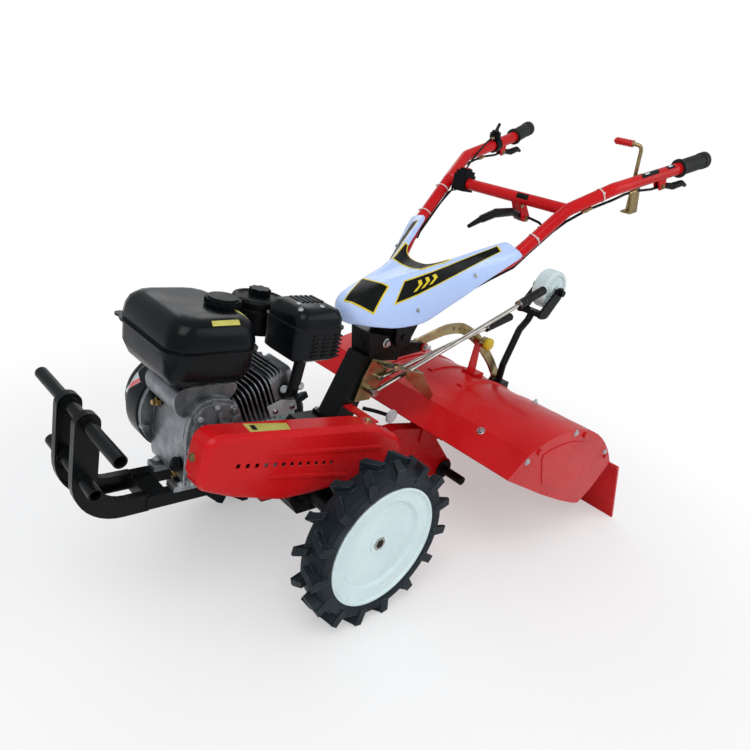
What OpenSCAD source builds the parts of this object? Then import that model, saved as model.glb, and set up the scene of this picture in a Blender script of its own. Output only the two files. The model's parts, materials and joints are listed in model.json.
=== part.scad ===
// Two-wheel walking motor tiller with a rear rotary hood.
// Millimetres. +X is forward (bumper end), +Y is the operator's left, +Z is up.
// Sub-parts are drawn with the machine level and the origin on the wheel axle,
// then park() sets the machine down on its wheels and on the lip of its rear flap.

/* [Wheels] */
// radius over the tyre lugs
wheel_r = 205; // [180:1:230]
// half the distance between the middles of the two wheels
wheel_y = 275; // [240:1:320]
// radius where the tyre sits on the rim
rim_r = 150; // [120:1:165]
// width of a tyre
tyre_w = 80; // [60:1:100]
// number of lugs on each side of a tyre
lug_count = 15; // [10:1:20]

/* [Chassis] */
// distance of each rail from the centre plane
rail_y = 44; // [36:1:56]
// lower edge of the rails
rail_z = 68; // [50:1:90]
// height of a rail
rail_h = 30; // [20:1:50]
// front bumper tube, distance ahead of the axle
bumper_x = 565; // [520:1:600]
// height of the upper bumper tube
bumper_z = 276; // [240:1:300]
// height of the lower bumper tube
bumper_low_z = 167; // [120:1:190]
// radius of the bumper tubes
bumper_r = 12.5; // [10:0.5:20]
// radius of the bumper plates' round tops
bumper_plate_r = 23; // [20:1:40]

/* [Engine] */
// crankshaft, distance ahead of the axle
crank_x = 300; // [260:1:340]
// crankshaft height
crank_z = 210; // [180:1:240]
// slant of the cylinder above level
cylinder_tilt = 25; // [0:1:45]
// number of cooling fins
fin_count = 8; // [5:1:12]

/* [Belt cover] */
// outer face of the belt cover, distance from the centre plane
cover_y = 185; // [170:1:200]
// depth of the belt cover
cover_depth = 55; // [40:1:70]
// number of louvre holes in the belt cover
louvre_count = 12; // [6:1:16]

/* [Handlebar] */
// height of the grips' rear ends above the axle
grip_z = 953; // [850:1:1000]
// half the distance between the grips' rear ends
grip_y = 296; // [250:1:330]
// radius of the handlebar tube
tube_r = 16; // [12:0.5:19]
// thickness of a rubber grip
grip_t = 5; // [3:0.5:8]
// handlebar pivot, distance ahead of the axle
pivot_x = -205; // [-240:1:-170]
// handlebar pivot height
pivot_z = 388; // [360:1:420]

/* [Tiller] */
// rotor shaft, distance ahead of the axle
rotor_x = -545; // [-600:1:-500]
// rotor shaft height
rotor_z = -76; // [-110:1:-40]
// radius of the rotor shaft
rotor_r = 13.5; // [10:0.5:20]
// half length of the rotor shaft
rotor_half = 108; // [80:1:140]
// length of the bare stub at each end of the rotor shaft
rotor_stub = 76; // [40:1:78]
// half width of the hood
hood_half = 385; // [300:1:420]
// radius of the hood's curve
hood_r = 415; // [380:1:450]
// thickness of the hood's sheet
hood_t = 3; // [2:0.5:5]
// half width of the rear flap
flap_half = 405; // [300:1:430]

/* [Hidden] */
bar_knee = [-863, 275, 913];
bar_bend = [-627, 245, 833];
bar_cross = [-521, 199, 763];
// the hand levers' pins: distance along the bar behind its bend, and height from its axis
lever_at = 196;
lever_z = -32;
cable_r = 3.5;
// the dash cover's skin slopes back from its nose, which is dash_z up
dash_slope = 25.6;
dash_z = 476;
dash_t = 3;
// Each row of the skin: distance back, how far its ends bow back, then y of the arm's inner edge,
// ridge, crease and lower edge, then the heights of the middle, ridge, crease and lower edge.
dash_rows = [
  [-2, 6, 8, 13, 18, 24, -56, -56, -57, -58],
  [0, 12, 10, 18, 27, 34, -24, -25, -36, -61],
  [12, 14, 12, 24, 38, 48, -6, -8, -30, -66],
  [45, 10, 14, 30, 50, 62, 0, -2, -36, -82],
  [110, 0, 18, 36, 64, 76, -2, -3, -52, -110],
  [185, 0, 26, 47, 78, 89, -12, -6, -64, -130],
  [235, 0, 40, 60, 97, 110, -17, -6, -50, -106],
  [280, 0, 60, 80, 118, 134, -20, -4, -41, -84],
  [330, 0, 84, 102, 140, 156, 0, 0, -28, -60],
  [380, 0, 108, 120, 162, 179, 0, 3, -17, -38],
  [428, 0, 132, 144, 182, 196, 0, 6, -8, -22]];
// the row at which the two arms part
dash_fork = 7;
// middle and radius of the bumper plates' lower bend
heel_r = 100;
heel_c = [bumper_x + bumper_plate_r - heel_r, rail_z - 4 + heel_r];
// the hood's sheet runs from its skirt at a0 to its rear edge at a1
hood_a0 = 66;
hood_a1 = 142.5;
hood_rear = [-857.2, 74.6];
hood_c = hood_rear - hood_r * [cos(hood_a1), sin(hood_a1)];
// where the hood's wings lap over its middle sheet
seam_y = 158;
skirt = [66, -54];
link_pin = [-334, 339];
ear_pin = [-769, 186];
gauge_c = [-892, 494];
flap_pin = [-884, 66];
flap_foot = [-1001, -153];
park_pitch = asin(wheel_r / norm(flap_foot)) - atan2(-flap_foot[1], -flap_foot[0]);
// half way between the bumper's front and the left grip's rear, so that the origin is in the middle
bar_end = [-964, grip_y, grip_z];
tip_out = 10;
tip = bar_end + unit(bar_end - bar_knee) * tip_out;
tip_dir = unit(bar_end - bar_knee);
tip_dx = tip_dir[0] * cos(park_pitch) - tip_dir[2] * sin(park_pitch);
rear_x = level_x(tip[0], tip[2]) - (tube_r + grip_t) * sqrt(1 - tip_dx * tip_dx);
front_x = level_x(heel_c[0], heel_c[1]) + heel_r;
park_x = -(front_x + rear_x) / 2;
run = 0.05;
// face between crankcase and cylinder, and the cylinder head, out along the bore
deck = 58;
head_z = 146;
fin_pitch = 10.5;
cover_outline = concat([[-30, 99], [139, 99], [214, 103], [335, 141]],
                       arc([383, 196], 30, -62, 0, 4), arc([377, 254], 30, 8, 88, 5),
                       [[220, 267], [14, 245], [-38, 233]], arc([-79, 152], 54, 98, 262, 9));

// A point d outside the hood's sheet at angle a.
function on_hood(a, d = 0) = hood_c + (hood_r + d) * [cos(a), sin(a)];
function level_x(x, z) = x * cos(park_pitch) - z * sin(park_pitch);

// ---------- helpers ----------

// Sets the level machine down as it parks.
module park() {
  translate([park_x, 0, wheel_r])
    rotate([0, -park_pitch, 0])
      children();
}

// Places its children at a with their Z axis pointing to b.
module along(a, b) {
  d = b - a;
  translate(a)
    rotate([0, acos(d[2] / norm(d)), atan2(d[1], d[0])])
      children();
}

// A rod between two points.
module rod(a, b, r) {
  along(a, b)
    cylinder(r = r, h = norm(b - a));
}

function unit(v) = v / norm(v);

// The turn at point i of a path.
function turn(p, i) = acos(unit(p[i] - p[i - 1]) * unit(p[i + 1] - p[i]));

// How far a bend of radius b reaches along the path from point i.
function reach(p, i, b) = (i == 0 || i == len(p) - 1) ? 0 : b * tan(turn(p, i) / 2);

// The path with each inner corner cut to a bend of radius b in n steps.
function bend(p, b, n) = [for (i = [0:len(p) - 1])
  let (inner = i > 0 && i < len(p) - 1,
       s = inner ? p[i] - unit(p[i] - p[i - 1]) * reach(p, i, b) : p[i],
       e = inner ? p[i] + unit(p[i + 1] - p[i]) * reach(p, i, b) : p[i])
  for (k = [0:inner ? n : 0])
    let (t = inner ? k / n : 0)
    s * (1 - t) * (1 - t) + p[i] * 2 * t * (1 - t) + e * t * t];

// A round bar along a path, with knuckles a hair proud of it at the corners.
module pipe(p, r, b) {
  q = bend(p, b, 3);
  for (i = [0:len(q) - 2])
    rod(q[i], q[i + 1], r);
  for (i = [1:len(q) - 2])
    translate(q[i])
      sphere(r = r + 0.3);
}

// Faces of a solid skin over m rings of n points.
function skin(m, n) = concat(
  [[for (k = [0:n - 1]) k]],
  [for (i = [0:m - 2], k = [0:n - 1])
    let (a = i * n + k, b = i * n + (k + 1) % n)
    each [[a + n, b + n, b], [a + n, b, a]]],
  [[for (k = [n - 1:-1:0]) (m - 1) * n + k]]);

// A solid through rings with equal numbers of points, each anticlockwise seen from the last one.
module loft(rings) {
  polyhedron(points = [for (q = rings) each q], faces = skin(len(rings), len(rings[0])));
}

// A ring at height z: a rectangle about c with half sides h and corners of radius r.
function oblong(c, h, r, z, n = 3) = [for (q = [0:3], k = [0:n])
  let (a = 90 * (q + k / n))
  [c[0] + (q == 0 || q == 3 ? 1 : -1) * (h[0] - r) + r * cos(a),
   c[1] + (q < 2 ? 1 : -1) * (h[1] - r) + r * sin(a), z]];

// A ring at y from an outline in the XZ plane.
function upright(p, y) = [for (q = p) [q[0], y, q[1]]];

// A round bar swept along a path with n flats. r is one radius or one for each point.
// ref is any direction that the path never runs along.
module sweep(p, r, n = 12, ref = [0, 1, 0]) {
  m = len(p);
  function seg(i) = unit(p[i + 1] - p[i]);
  pts = [for (i = [0:m - 1])
    let (t = unit(seg(max(i - 1, 0)) + seg(min(i, m - 2))), a = unit(cross(ref, t)),
         b = cross(t, a), q = is_list(r) ? r[i] : r)
    for (k = [0:n - 1]) p[i] + q * (a * cos(360 * k / n) + b * sin(360 * k / n))];
  polyhedron(points = pts, faces = skin(m, n));
}

// A cylinder along Y from y0 to y1.
module across(x, z, r, y0, y1) {
  translate([x, y1, z])
    rotate([90, 0, 0])
      cylinder(r = r, h = y1 - y0);
}

// A plate in the XZ plane from y0 to y1. Points are [x, z].
module plate(pts, y0, y1) {
  translate([0, y1, 0])
    rotate([90, 0, 0])
      linear_extrude(y1 - y0)
        polygon(pts);
}

// A box from its two corners.
module span(a, b) {
  translate(a)
    cube(b - a);
}

// The polygon moved inwards by d. Points run anticlockwise.
function inset(p, d) = [for (i = [0:len(p) - 1])
  let (a = p[(i + len(p) - 1) % len(p)], b = p[i], c = p[(i + 1) % len(p)],
       u = (b - a) / norm(b - a), v = (c - b) / norm(c - b),
       m = [-u[1] - v[1], u[0] + v[0]])
  b + m * 2 * d / (m * m)];

// Points on an arc about c, from angle a0 to a1, in n steps.
function arc(c, r, a0, a1, n) = [for (i = [0:n])
  let (t = a0 + (a1 - a0) * i / n) c + r * [cos(t), sin(t)]];

// The closed outline with a bend at each corner that starts up to d away from it, in n steps.
function rounded(p, d, n = 3) = [for (i = [0:len(p) - 1])
  let (a = p[(i + len(p) - 1) % len(p)], b = p[i], c = p[(i + 1) % len(p)],
       s = b + unit(a - b) * min(d, norm(a - b) * 0.42),
       t = b + unit(c - b) * min(d, norm(c - b) * 0.42))
  for (k = [0:n])
    let (u = k / n)
    s * (1 - u) * (1 - u) + b * 2 * u * (1 - u) + t * u * u];

// The outline of a slot from a to b with ends of radius r.
function slot(a, b, r, n = 5) =
  let (t = atan2(b[1] - a[1], b[0] - a[0]))
  concat(arc(a, r, t + 90, t + 270, n), arc(b, r, t - 90, t + 90, n));

// ---------- wheels ----------

// A pressed wheel disc with its barrel and hub. +Z is the outer side.
module rim() {
  difference() {
    union() {
      rotate_extrude()
        polygon([[150, -34], [150, 36], [145, 37], [141, 31], [113, 27], [107, 19], [22, 15],
                 [22, 11], [109, 15], [115, 23], [138, 27], [146, 26], [146, -34]]);
      translate([0, 0, -30])
        cylinder(r = 26, h = 48);
    }
    translate([0, 0, -40])
      cylinder(r = 17, h = 80, $fn = 6);
  }
}

// One lug from the crown down to the shoulder.
module lug(side) {
  top = sqrt(wheel_r * wheel_r - 400);
  translate([0, 0, 178])
    linear_extrude(top - 178)
      polygon(side > 0
        ? [[-20, 0], [-2, 0], [20, 34], [20, 40], [0, 40], [0, 34]]
        : [[-20, 0], [0, -34], [0, -40], [20, -40], [20, -34], [-2, 0]]);
  translate([0, side > 0 ? 32 : -40, 162])
    cube([20, 8, 30]);
}

// A farm tyre with staggered slanting lugs. It turns about Y.
module tyre() {
  rotate([-90, 0, 0])
    rotate_extrude()
      polygon([[rim_r, -33], [160, -37], [176, -37], [185, -28], [188, 0], [185, 28],
               [176, 37], [160, 37], [rim_r, 33]]);
  for (i = [0:lug_count - 1]) {
    rotate([0, i * 360 / lug_count, 0])
      lug(1);
    rotate([0, (i + 0.5) * 360 / lug_count, 0])
      lug(-1);
  }
}

// Half axle: hexagonal in the wheel hub, round in the housing.
module axle() {
  across(0, 0, 15, 60, 235);
  translate([0, 295, 0])
    rotate([90, 0, 0])
      cylinder(r = 17, h = 60, $fn = 6);
}

module rim_left() {
  color("white")
    translate([0, wheel_y, 0])
      rotate([-90, 0, 0])
        rim();
}

module rim_right() {
  mirror([0, 1, 0])
    rim_left();
}

module tyre_left() {
  color("black")
    translate([0, wheel_y, 0])
      tyre();
}

module tyre_right() {
  mirror([0, 1, 0])
    tyre_left();
}

module axle_left() {
  color("silver")
    axle();
}

module axle_right() {
  mirror([0, 1, 0])
    axle_left();
}

// ---------- chassis ----------

// Two rails with cross plates that carry the engine and the gearbox.
module chassis_rails() {
  color("black") {
    for (s = [-1, 1])
      span([90, s * rail_y - 12, rail_z], [436, s * rail_y + 12, rail_z + rail_h]);
    for (x = [395, 190])
      span([x, -rail_y, rail_z + 4], [x + 36, rail_y, rail_z + rail_h - 4]);
    // end plate bolted to the gearbox
    span([90, -rail_y - 14, rail_z - 8], [98, rail_y + 14, 122]);
    // square tube stub with its gusset, under the belt cover
    difference() {
      span([96, 84, 56], [206, 110, 82]);
      span([120, 87, 59], [207, 107, 79]);
    }
    span([96, rail_y + 10, 64], [130, 86, 76]);
  }
}

// Upright bumper plates with two cross tubes.
module front_bumper() {
  z0 = rail_z - 4;
  z1 = rail_z + rail_h + 4;
  inner_r = heel_r - 2 * bumper_plate_r + 4;
  strip = concat(
    [[436, z0]], arc(heel_c, heel_r, -90, 0, 10),
    arc([bumper_x, bumper_z], bumper_plate_r, 0, 180, 12),
    arc([bumper_x - bumper_plate_r - inner_r, z1 + inner_r], inner_r, 0, -90, 8),
    [[436, z1]]);
  color("black") {
    // a pressed channel on each side: web and turned edge
    for (s = [-1, 1])
      difference() {
        plate(strip, s * rail_y - 9, s * rail_y + 9);
        plate(inset(strip, 4), s * rail_y - (s > 0 ? 10 : 5), s * rail_y + (s > 0 ? 5 : 10));
      }
    span([436, -rail_y - 12, rail_z], [442, rail_y + 12, rail_z + rail_h]);
    for (s = [-1, 1]) {
      across(bumper_x, bumper_z, bumper_r + 5, s * rail_y - 12, s * rail_y + 12);
      across(bumper_x + 3, bumper_low_z, bumper_r + 4, s * rail_y - 11, s * rail_y + 11);
    }
    difference() {
      union() {
        across(bumper_x, bumper_z, bumper_r, -188, 188);
        across(bumper_x + 3, bumper_low_z, bumper_r, -110, 110);
      }
      for (s = [-1, 1]) {
        across(bumper_x, bumper_z, bumper_r - 2.5, s > 0 ? 100 : -189, s > 0 ? 189 : -100);
        across(bumper_x + 3, bumper_low_z, bumper_r - 2.5, s > 0 ? 60 : -111, s > 0 ? 111 : -60);
      }
    }
  }
}

// Case that carries the axles, the column and the tiller drive.
module gearbox() {
  color("dimgray")
    difference() {
      union() {
        plate([[-120, 0], [-100, -50], [-40, -62], [40, -62], [70, -20], [70, 61], [90, 61],
               [90, 118], [70, 130], [40, 170], [-97, 170], [-120, 110]], -47, 47);
        // axle tubes with their bolted flanges
        for (s = [-1, 1]) {
          across(0, 0, 30, s > 0 ? 47 : -225, s > 0 ? 225 : -47);
          across(0, 0, 52, s > 0 ? 47 : -57, s > 0 ? 57 : -47);
          across(0, 0, 37, s > 0 ? 205 : -225, s > 0 ? 225 : -205);
          for (i = [0:5])
            translate([43 * cos(60 * i + 30), s * 57, 43 * sin(60 * i + 30)])
              rotate([90, 0, 0])
                cylinder(r = 6, h = 10, center = true, $fn = 6);
        }
        // input shaft housing inside the belt cover
        across(20, 150, 26, 47, 118);
        across(20, 150, 9, 118, 160);
        // stiffening ribs
        for (x = [-70, -25, 20])
          span([x, -51, -40], [x + 6, 51, 130]);
      }
      across(0, 0, 15 + run, -230, 230);
    }
}

// ---------- engine ----------

// A point in the cylinder's own plane: x across the bore upwards, z out along it.
function bore_at(x, z) = [crank_x + x * sin(cylinder_tilt) - z * cos(cylinder_tilt),
                          crank_z + x * cos(cylinder_tilt) + z * sin(cylinder_tilt)];

// Places its children on the slanted cylinder's axis.
module on_bore() {
  translate([crank_x, 0, crank_z])
    rotate([0, cylinder_tilt - 90, 0])
      children();
}

module engine_crankcase() {
  body = [[225, 102], [372, 102], [376, 235], [366, 280], [335, 300], bore_at(60, deck),
          bore_at(-62, deck)];
  rim = rounded(body, 24);
  bolts = [[240, 118], [300, 114], [357, 118], [361, 190], [356, 262], [322, 284], bore_at(44, deck - 12),
           bore_at(-44, deck - 12)];
  color("silver") {
    plate(rim, -84, 47);
    plate(inset(rim, 2), 46, 50);
    plate(rim, 49, 60);
    plate(inset(rim, 9), 59, 64);
    for (p = bolts) {
      across(p[0], p[1], 9.5, 44, 65);
      across(p[0], p[1], 5.5, 64, 70);
    }
    // crankshaft boss, its ribs and the shaft
    across(crank_x, crank_z, 36, 60, 74);
    for (a = [10:45:340])
      translate([crank_x, 0, crank_z])
        rotate([0, a, 0])
          span([34, 62, -3], [60, 69, 3]);
    across(crank_x, crank_z, 11, 74, 165);
    across(crank_x, crank_z, 48, 140, 158);
    // fan side flange and its bolt bosses
    across(crank_x, crank_z, 104, -95, -83);
    for (a = [-130:55:90])
      across(crank_x + 98 * cos(a), crank_z + 98 * sin(a), 8, -95, -76);
    // deck under the tank
    plate(rounded([[340, 240], [392, 262], [402, 298], [386, 318], [262, 318], [262, 296], [290, 270]],
                  14), -86, 40);
    span([300, -50, 316], [380, 36, 330]);
    // mounting feet
    for (s = [-1, 1])
      span([232, s * rail_y - 17, rail_z + rail_h], [390, s * rail_y + 17, 110]);
  }
}

module engine_cylinder() {
  color("silver")
    on_bore() {
      translate([0, -18, deck + 0.02])
        cylinder(r = 42, h = head_z - deck);
      // fins grow from the crankcase to the head
      for (i = [0:fin_count - 1])
        let (g = 46 + 14 * i / (fin_count - 1), w = 56 + 12 * i / (fin_count - 1))
        translate([0, -18, deck + 5 + i * fin_pitch])
          linear_extrude(3)
            polygon(rounded([[g, -w], [g, w], [-g, w], [-g, -w]], 24, 3));
      translate([0, -17, head_z])
        linear_extrude(44)
          polygon(rounded([[52, -65], [52, 65], [-54, 65], [-54, -65]], 12, 2));
      for (i = [0:3])
        translate([0, -18, head_z + 5 + i * 9])
          linear_extrude(3)
            polygon(rounded([[61, -64], [61, 66], [-60, 66], [-60, -64]], 16, 2));
      // valve cover with its corner bolts
      translate([0, -17, head_z + 44])
        linear_extrude(4)
          polygon(rounded([[44, -52], [44, 52], [-44, 52], [-44, -52]], 10, 2));
      translate([0, -17, head_z + 47])
        linear_extrude(20)
          polygon(rounded([[38, -46], [38, 46], [-38, 46], [-38, -46]], 14, 3));
      for (x = [-40, 40])
        for (y = [-65, 31])
          translate([x, y, head_z + 47])
            cylinder(r = 5.5, h = 6, $fn = 6);
    }
}

module recoil_housing() {
  color("black")
    translate([crank_x, -95, crank_z])
      rotate([90, 0, 0])
        difference() {
          rotate_extrude()
            polygon([[0, 0], [106, 0], [108, 3], [108, 50], [104, 60], [94, 66], [92, 92], [86, 101],
                     [76, 104], [34, 104], [30, 110], [0, 110]]);
          // air slots of the starter cover
          for (i = [0:11])
            rotate([0, 0, i * 30])
              translate([44, -4, 98])
                cube([32, 8, 20]);
        }
}

module fuel_tank() {
  c = [345, -32];
  color("black") {
    loft([oblong(c, [72, 96], 26, 335), oblong(c, [82, 110], 32, 340), oblong(c, [92, 121], 38, 362),
          oblong(c, [94, 123], 40, 405), oblong(c, [94, 123], 40, 413)]);
    // seam with a lug at the far front corner
    loft([oblong(c, [101, 129], 42, 405), oblong(c, [101, 129], 42, 409)]);
    translate([428, -150, 405])
      cylinder(r = 15, h = 4);
    loft([oblong(c, [94, 123], 40, 408), oblong(c, [95, 124], 40, 418), oblong(c, [92, 121], 40, 440),
          oblong(c, [86, 115], 40, 456), oblong(c, [74, 104], 38, 466), oblong(c, [58, 88], 32, 470)]);
    for (y = [-35, 22])
      span([306, y - 12, 330], [374, y + 12, 337]);
    translate([290, -8, 468])
      cylinder(r = 31, h = 5);
  }
}

module fuel_cap() {
  lobes = 14;
  color("black")
    translate([290, -8, 473]) {
      linear_extrude(11)
        polygon([for (i = [0:4 * lobes - 1])
          let (a = 90 * i / lobes, r = i % 4 < 2 ? 37 : 34)
          r * [cos(a), sin(a)]]);
      translate([0, 0, 10.5])
        cylinder(r = 31, h = 4);
    }
}

module muffler() {
  c = [128, 57];
  color("black") {
    loft([oblong(c, [50, 52], 14, 380), oblong(c, [59, 61], 18, 387), oblong(c, [62, 63], 20, 453)]);
    loft([oblong(c, [65, 66], 22, 452), oblong(c, [65, 66], 22, 456)]);
    loft([oblong(c, [61, 62], 22, 455), oblong(c, [60, 61], 22, 474), oblong(c, [52, 54], 22, 488),
          oblong(c, [36, 40], 18, 494)]);
    // louvres in the near side, the rear side and the top
    for (x = [76, 104, 132])
      for (z = [394:9:446])
        plate(slot([x, z], [x + 15, z], 2.2, 3), 117, 122.5);
    for (y = [14, 44, 74])
      for (z = [394:9:446])
        translate([64, y, z])
          cube([8, 17, 4]);
    for (x = [92:13:150])
      translate([x, 20, 490])
        cube([6, 44, 6]);
    // pipe from the cylinder head, with its flange
    sweep(bend([[142, 48, 287], [142, 72, 287], [132, 72, 384]], 22, 4), 13, ref = [1, 0, 0]);
    across(142, 287, 16, 48, 54);
    across(142, 287, 6, 54, 55);
  }
}

module air_cleaner() {
  lobes = 8;
  color("black") {
    translate([154, -81, 0])
      rotate_extrude()
        polygon([[0, 385], [50, 385], [55, 390], [56, 438], [53, 441], [53, 445], [59, 447], [60, 456],
                 [57, 462], [47, 465], [42, 461], [26, 459], [22, 463], [0, 463]]);
    translate([154, -81, 462])
      linear_extrude(18)
        polygon([for (i = [0:4 * lobes - 1])
          let (a = 90 * i / lobes, r = i % 4 < 2 ? 24 : 20)
          r * [cos(a), sin(a)]]);
    // elbow down to the inlet port
    sweep(bend([[156, -82, 298], [156, -112, 298], [156, -112, 387]], 24, 4), 15, ref = [1, 0, 0]);
  }
}

module belt_cover() {
  o = cover_outline;
  y1 = cover_y;
  y0 = cover_y - cover_depth;
  first = [333, 214];
  last = [93, 171];
  color("red") {
    difference() {
      loft([upright(inset(o, 12), y1), upright(inset(o, 5), y1 - 3), upright(o, y1 - 12),
            upright(o, y0)]);
      loft([upright(inset(o, 13), y1 - 3), upright(inset(o, 7.5), y1 - 5.5),
            upright(inset(o, 3), y1 - 13), upright(inset(o, 3), y0 - 1)]);
      // row of square louvre holes
      for (i = [0:louvre_count - 1])
        let (p = first + (last - first) * i / (louvre_count - 1))
        span([p[0] - 4.8, y1 - 10, p[1] - 5], [p[0] + 4.8, y1 + 5, p[1] + 5]);
      // notch for the front fixing bolt
      translate([395, y0, 190])
        rotate([0, 90, 0])
          cylinder(r = 9, h = 40);
    }
    // pressed ridges
    for (r = [[[249, 225], [-50, 180]], [[256, 173], [40, 128]]]) {
      plate(slot(r[0], r[1], 5.5), y1 - 1, y1 + 1.5);
      plate(slot(r[0], r[1], 3.5), y1, y1 + 2.7);
    }
    // straps to the rail and to the column
    span([200, rail_y + 12, 84], [230, y0 + 12, 89]);
    span([200, y0 + 6, 84], [230, y0 + 12, 105.5]);
    span([-85, 32, 212], [-57, y0 + 3, 216]);
  }
}

// ---------- column, levers ----------

module handle_column() {
  color("black")
    difference() {
      union() {
        plate([[-34, 170], [-97, 170], [-143, 320], [-143, 340], [-100, 340]], -32, 32);
        plate(concat([[-113, 329], [-212, 322]], arc([pivot_x, pivot_z], 30, 215, 0, 12),
                     [[-140, 394], [-95, 402]]), -34, 34);
        // arm that carries the depth link
        plate([[-205, 326], [-245, 318], [-330, 328], [-346, 333], [-346, 346], [-330, 351],
               [-228, 364], [-205, 364]], -10, 10);
        // foot flange
        span([-100, -42, 170], [-28, 42, 178]);
      }
      across(pivot_x, pivot_z, 8 + run, -60, 60);
      across(link_pin[0], link_pin[1], 6, -60, 60);
    }
}

module shift_gate() {
  color("goldenrod") {
    plate([[-85, 224], [-136, 224], [-178, 300], [-186, 321], [-120, 335], [-100, 290]], 34.1, 40);
    difference() {
      plate([[-125, 331], [-270, 300], [-270, 297], [-125, 328]], 34.1, 86);
      for (y = [44, 66])
        span([-262, y - 8, 280], [-206, y + 8, 340]);
    }
    plate([[-200, 314], [-262, 301], [-328, 232], [-316, 216], [-204, 292]], 83, 86);
    translate([-172, 74, 318])
      cylinder(r = 9, h = 10, $fn = 6);
  }
}

module shift_lever_long() {
  color("silver") {
    across(-118, 258, 9.5, 40, 74);
    lever([-118, 66, 258], [-640, 66, 468], 6, 124, 13);
  }
}

// A grip with raised rings between two points.
module ribbed_grip(a, b, r) {
  n = floor(norm(b - a) / 8);
  along(a, b)
    rotate_extrude()
      polygon(concat([[0, 0]],
                     [for (i = [0:n - 1]) each [[r, i * 8], [r, i * 8 + 5], [r - 2, i * 8 + 5.5],
                                                [r - 2, i * 8 + 7.5]]],
                     [[r - 2, n * 8], [r - 5, n * 8 + 3], [0, n * 8 + 3]]));
}

// A lever of radius r from a to b, with a grip of length l and radius g on its end.
module lever(a, b, r, l, g) {
  rod(a, b + 6 * unit(b - a), r);
  ribbed_grip(b, b + unit(b - a) * l, g);
}

module shift_lever_short() {
  color("silver") {
    across(-150, 285, 8, 40, 52);
    lever([-150, 46, 285], [-540, 46, 396], 6, 116, 12);
  }
}

// ---------- tiller ----------

module tiller_case() {
  color("red")
    difference() {
      union() {
        plate(concat([[-120, 85], [-120, 10], [-420, -70]],
                     arc([rotor_x, rotor_z], 36, 300, 120, 12),
                     [[-440, 80], [-300, 100]]), -20, 20);
        across(rotor_x, rotor_z, 36, -26, 26);
        intersection() {
          union()
            for (s = [-1, 1])
              plate([[-500, 40], [-400, 40], [-400, 260], [-500, 260]], s * 23 - 3, s * 23 + 3);
          across(hood_c[0], hood_c[1], hood_r - 2 * hood_t - 0.3, -60, 60);
        }
      }
      across(rotor_x, rotor_z, rotor_r + 3.5 + run, -60, 60);
    }
}

module rotor_shaft() {
  seat = rotor_half - rotor_stub;
  color("black")
    difference() {
      union() {
        across(rotor_x, rotor_z, rotor_r, -rotor_half, rotor_half);
        across(rotor_x, rotor_z, rotor_r + 3.5, -seat, seat);
        for (s = [-1, 1])
          across(rotor_x, rotor_z, 32, s > 0 ? seat - 4 : -seat, s > 0 ? seat : 4 - seat);
      }
      // centre holes in the shaft's ends
      for (s = [-1, 1])
        across(rotor_x, rotor_z, 3, s * (rotor_half - 4) - 5, s * (rotor_half - 4) + 5);
    }
}

// Curved sheet with its front skirt, from y0 to y1, d outside the hood's radius.
module hood_sheet(y0, y1, d) {
  lip = [on_hood(hood_a0 + 0.4, d - hood_t), on_hood(hood_a0 + 0.4, d)];
  translate([hood_c[0], 0, hood_c[1]])
    rotate([90, 0, 0])
      rotate_extrude(start = hood_a0, angle = hood_a1 - hood_a0)
        translate([hood_r + d - hood_t, -y1])
          square([hood_t, y1 - y0]);
  plate([lip[0], lip[1], lip[1] + skirt, lip[0] + skirt], y0, y1);
}

module hood_shell() {
  color("red") {
    // middle sheet with a wing lapped over each side of it
    hood_sheet(-seam_y - 14, seam_y + 14, -hood_t);
    hood_sheet(seam_y, hood_half, 0);
    hood_sheet(-hood_half, -seam_y, 0);
    // pressed saddle and stiffeners around the bracket
    for (y = [-70, 46])
      translate([hood_c[0], 0, hood_c[1]])
        rotate([90, 0, 0])
          rotate_extrude(start = 82, angle = 44)
            translate([hood_r - hood_t - 0.5, -y - 24])
              polygon([[0, 0], [5, 5], [5, 19], [0, 24]]);
    for (y = [-300, -100, 60, 260]) {
      across(flap_pin[0], flap_pin[1], 7, y, y + 40);
      plate([on_hood(hood_a1 - 0.6, -2 * hood_t), on_hood(hood_a1 - 0.6, -0.5), flap_pin + [0, 7],
             flap_pin], y, y + 40);
    }
    across(flap_pin[0], flap_pin[1], 3, -302, 302);
  }
}

module hood_end(s) {
  pts = concat([on_hood(hood_a0) + skirt], arc(hood_c, hood_r, hood_a0, hood_a1, 14),
               [[-784, 1], [-732, -34], [-698, -26], [-604, 9], [-489, 57]]);
  panel = rounded(concat([on_hood(hood_a0 + 8, -34)], arc(hood_c, hood_r - 34, 80, 132, 6),
                         [[-775, 40], [-728, 0], [-610, 38], [-470, 92]]), 14, 2);
  plate(pts, s > 0 ? hood_half : -hood_half - 4, s > 0 ? hood_half + 4 : -hood_half);
  // raised panel and the bolt heads round its edge
  plate(panel, s > 0 ? hood_half + 3 : -hood_half - 6, s > 0 ? hood_half + 6 : -hood_half - 3);
  for (a = [72, 104, 134])
    across(on_hood(a, -16)[0], on_hood(a, -16)[1], 8, s > 0 ? hood_half + 3 : -hood_half - 9,
           s > 0 ? hood_half + 9 : -hood_half - 3);
}

module hood_end_left() {
  color("red")
    hood_end(1);
}

module hood_end_right() {
  color("red")
    hood_end(-1);
}

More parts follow.
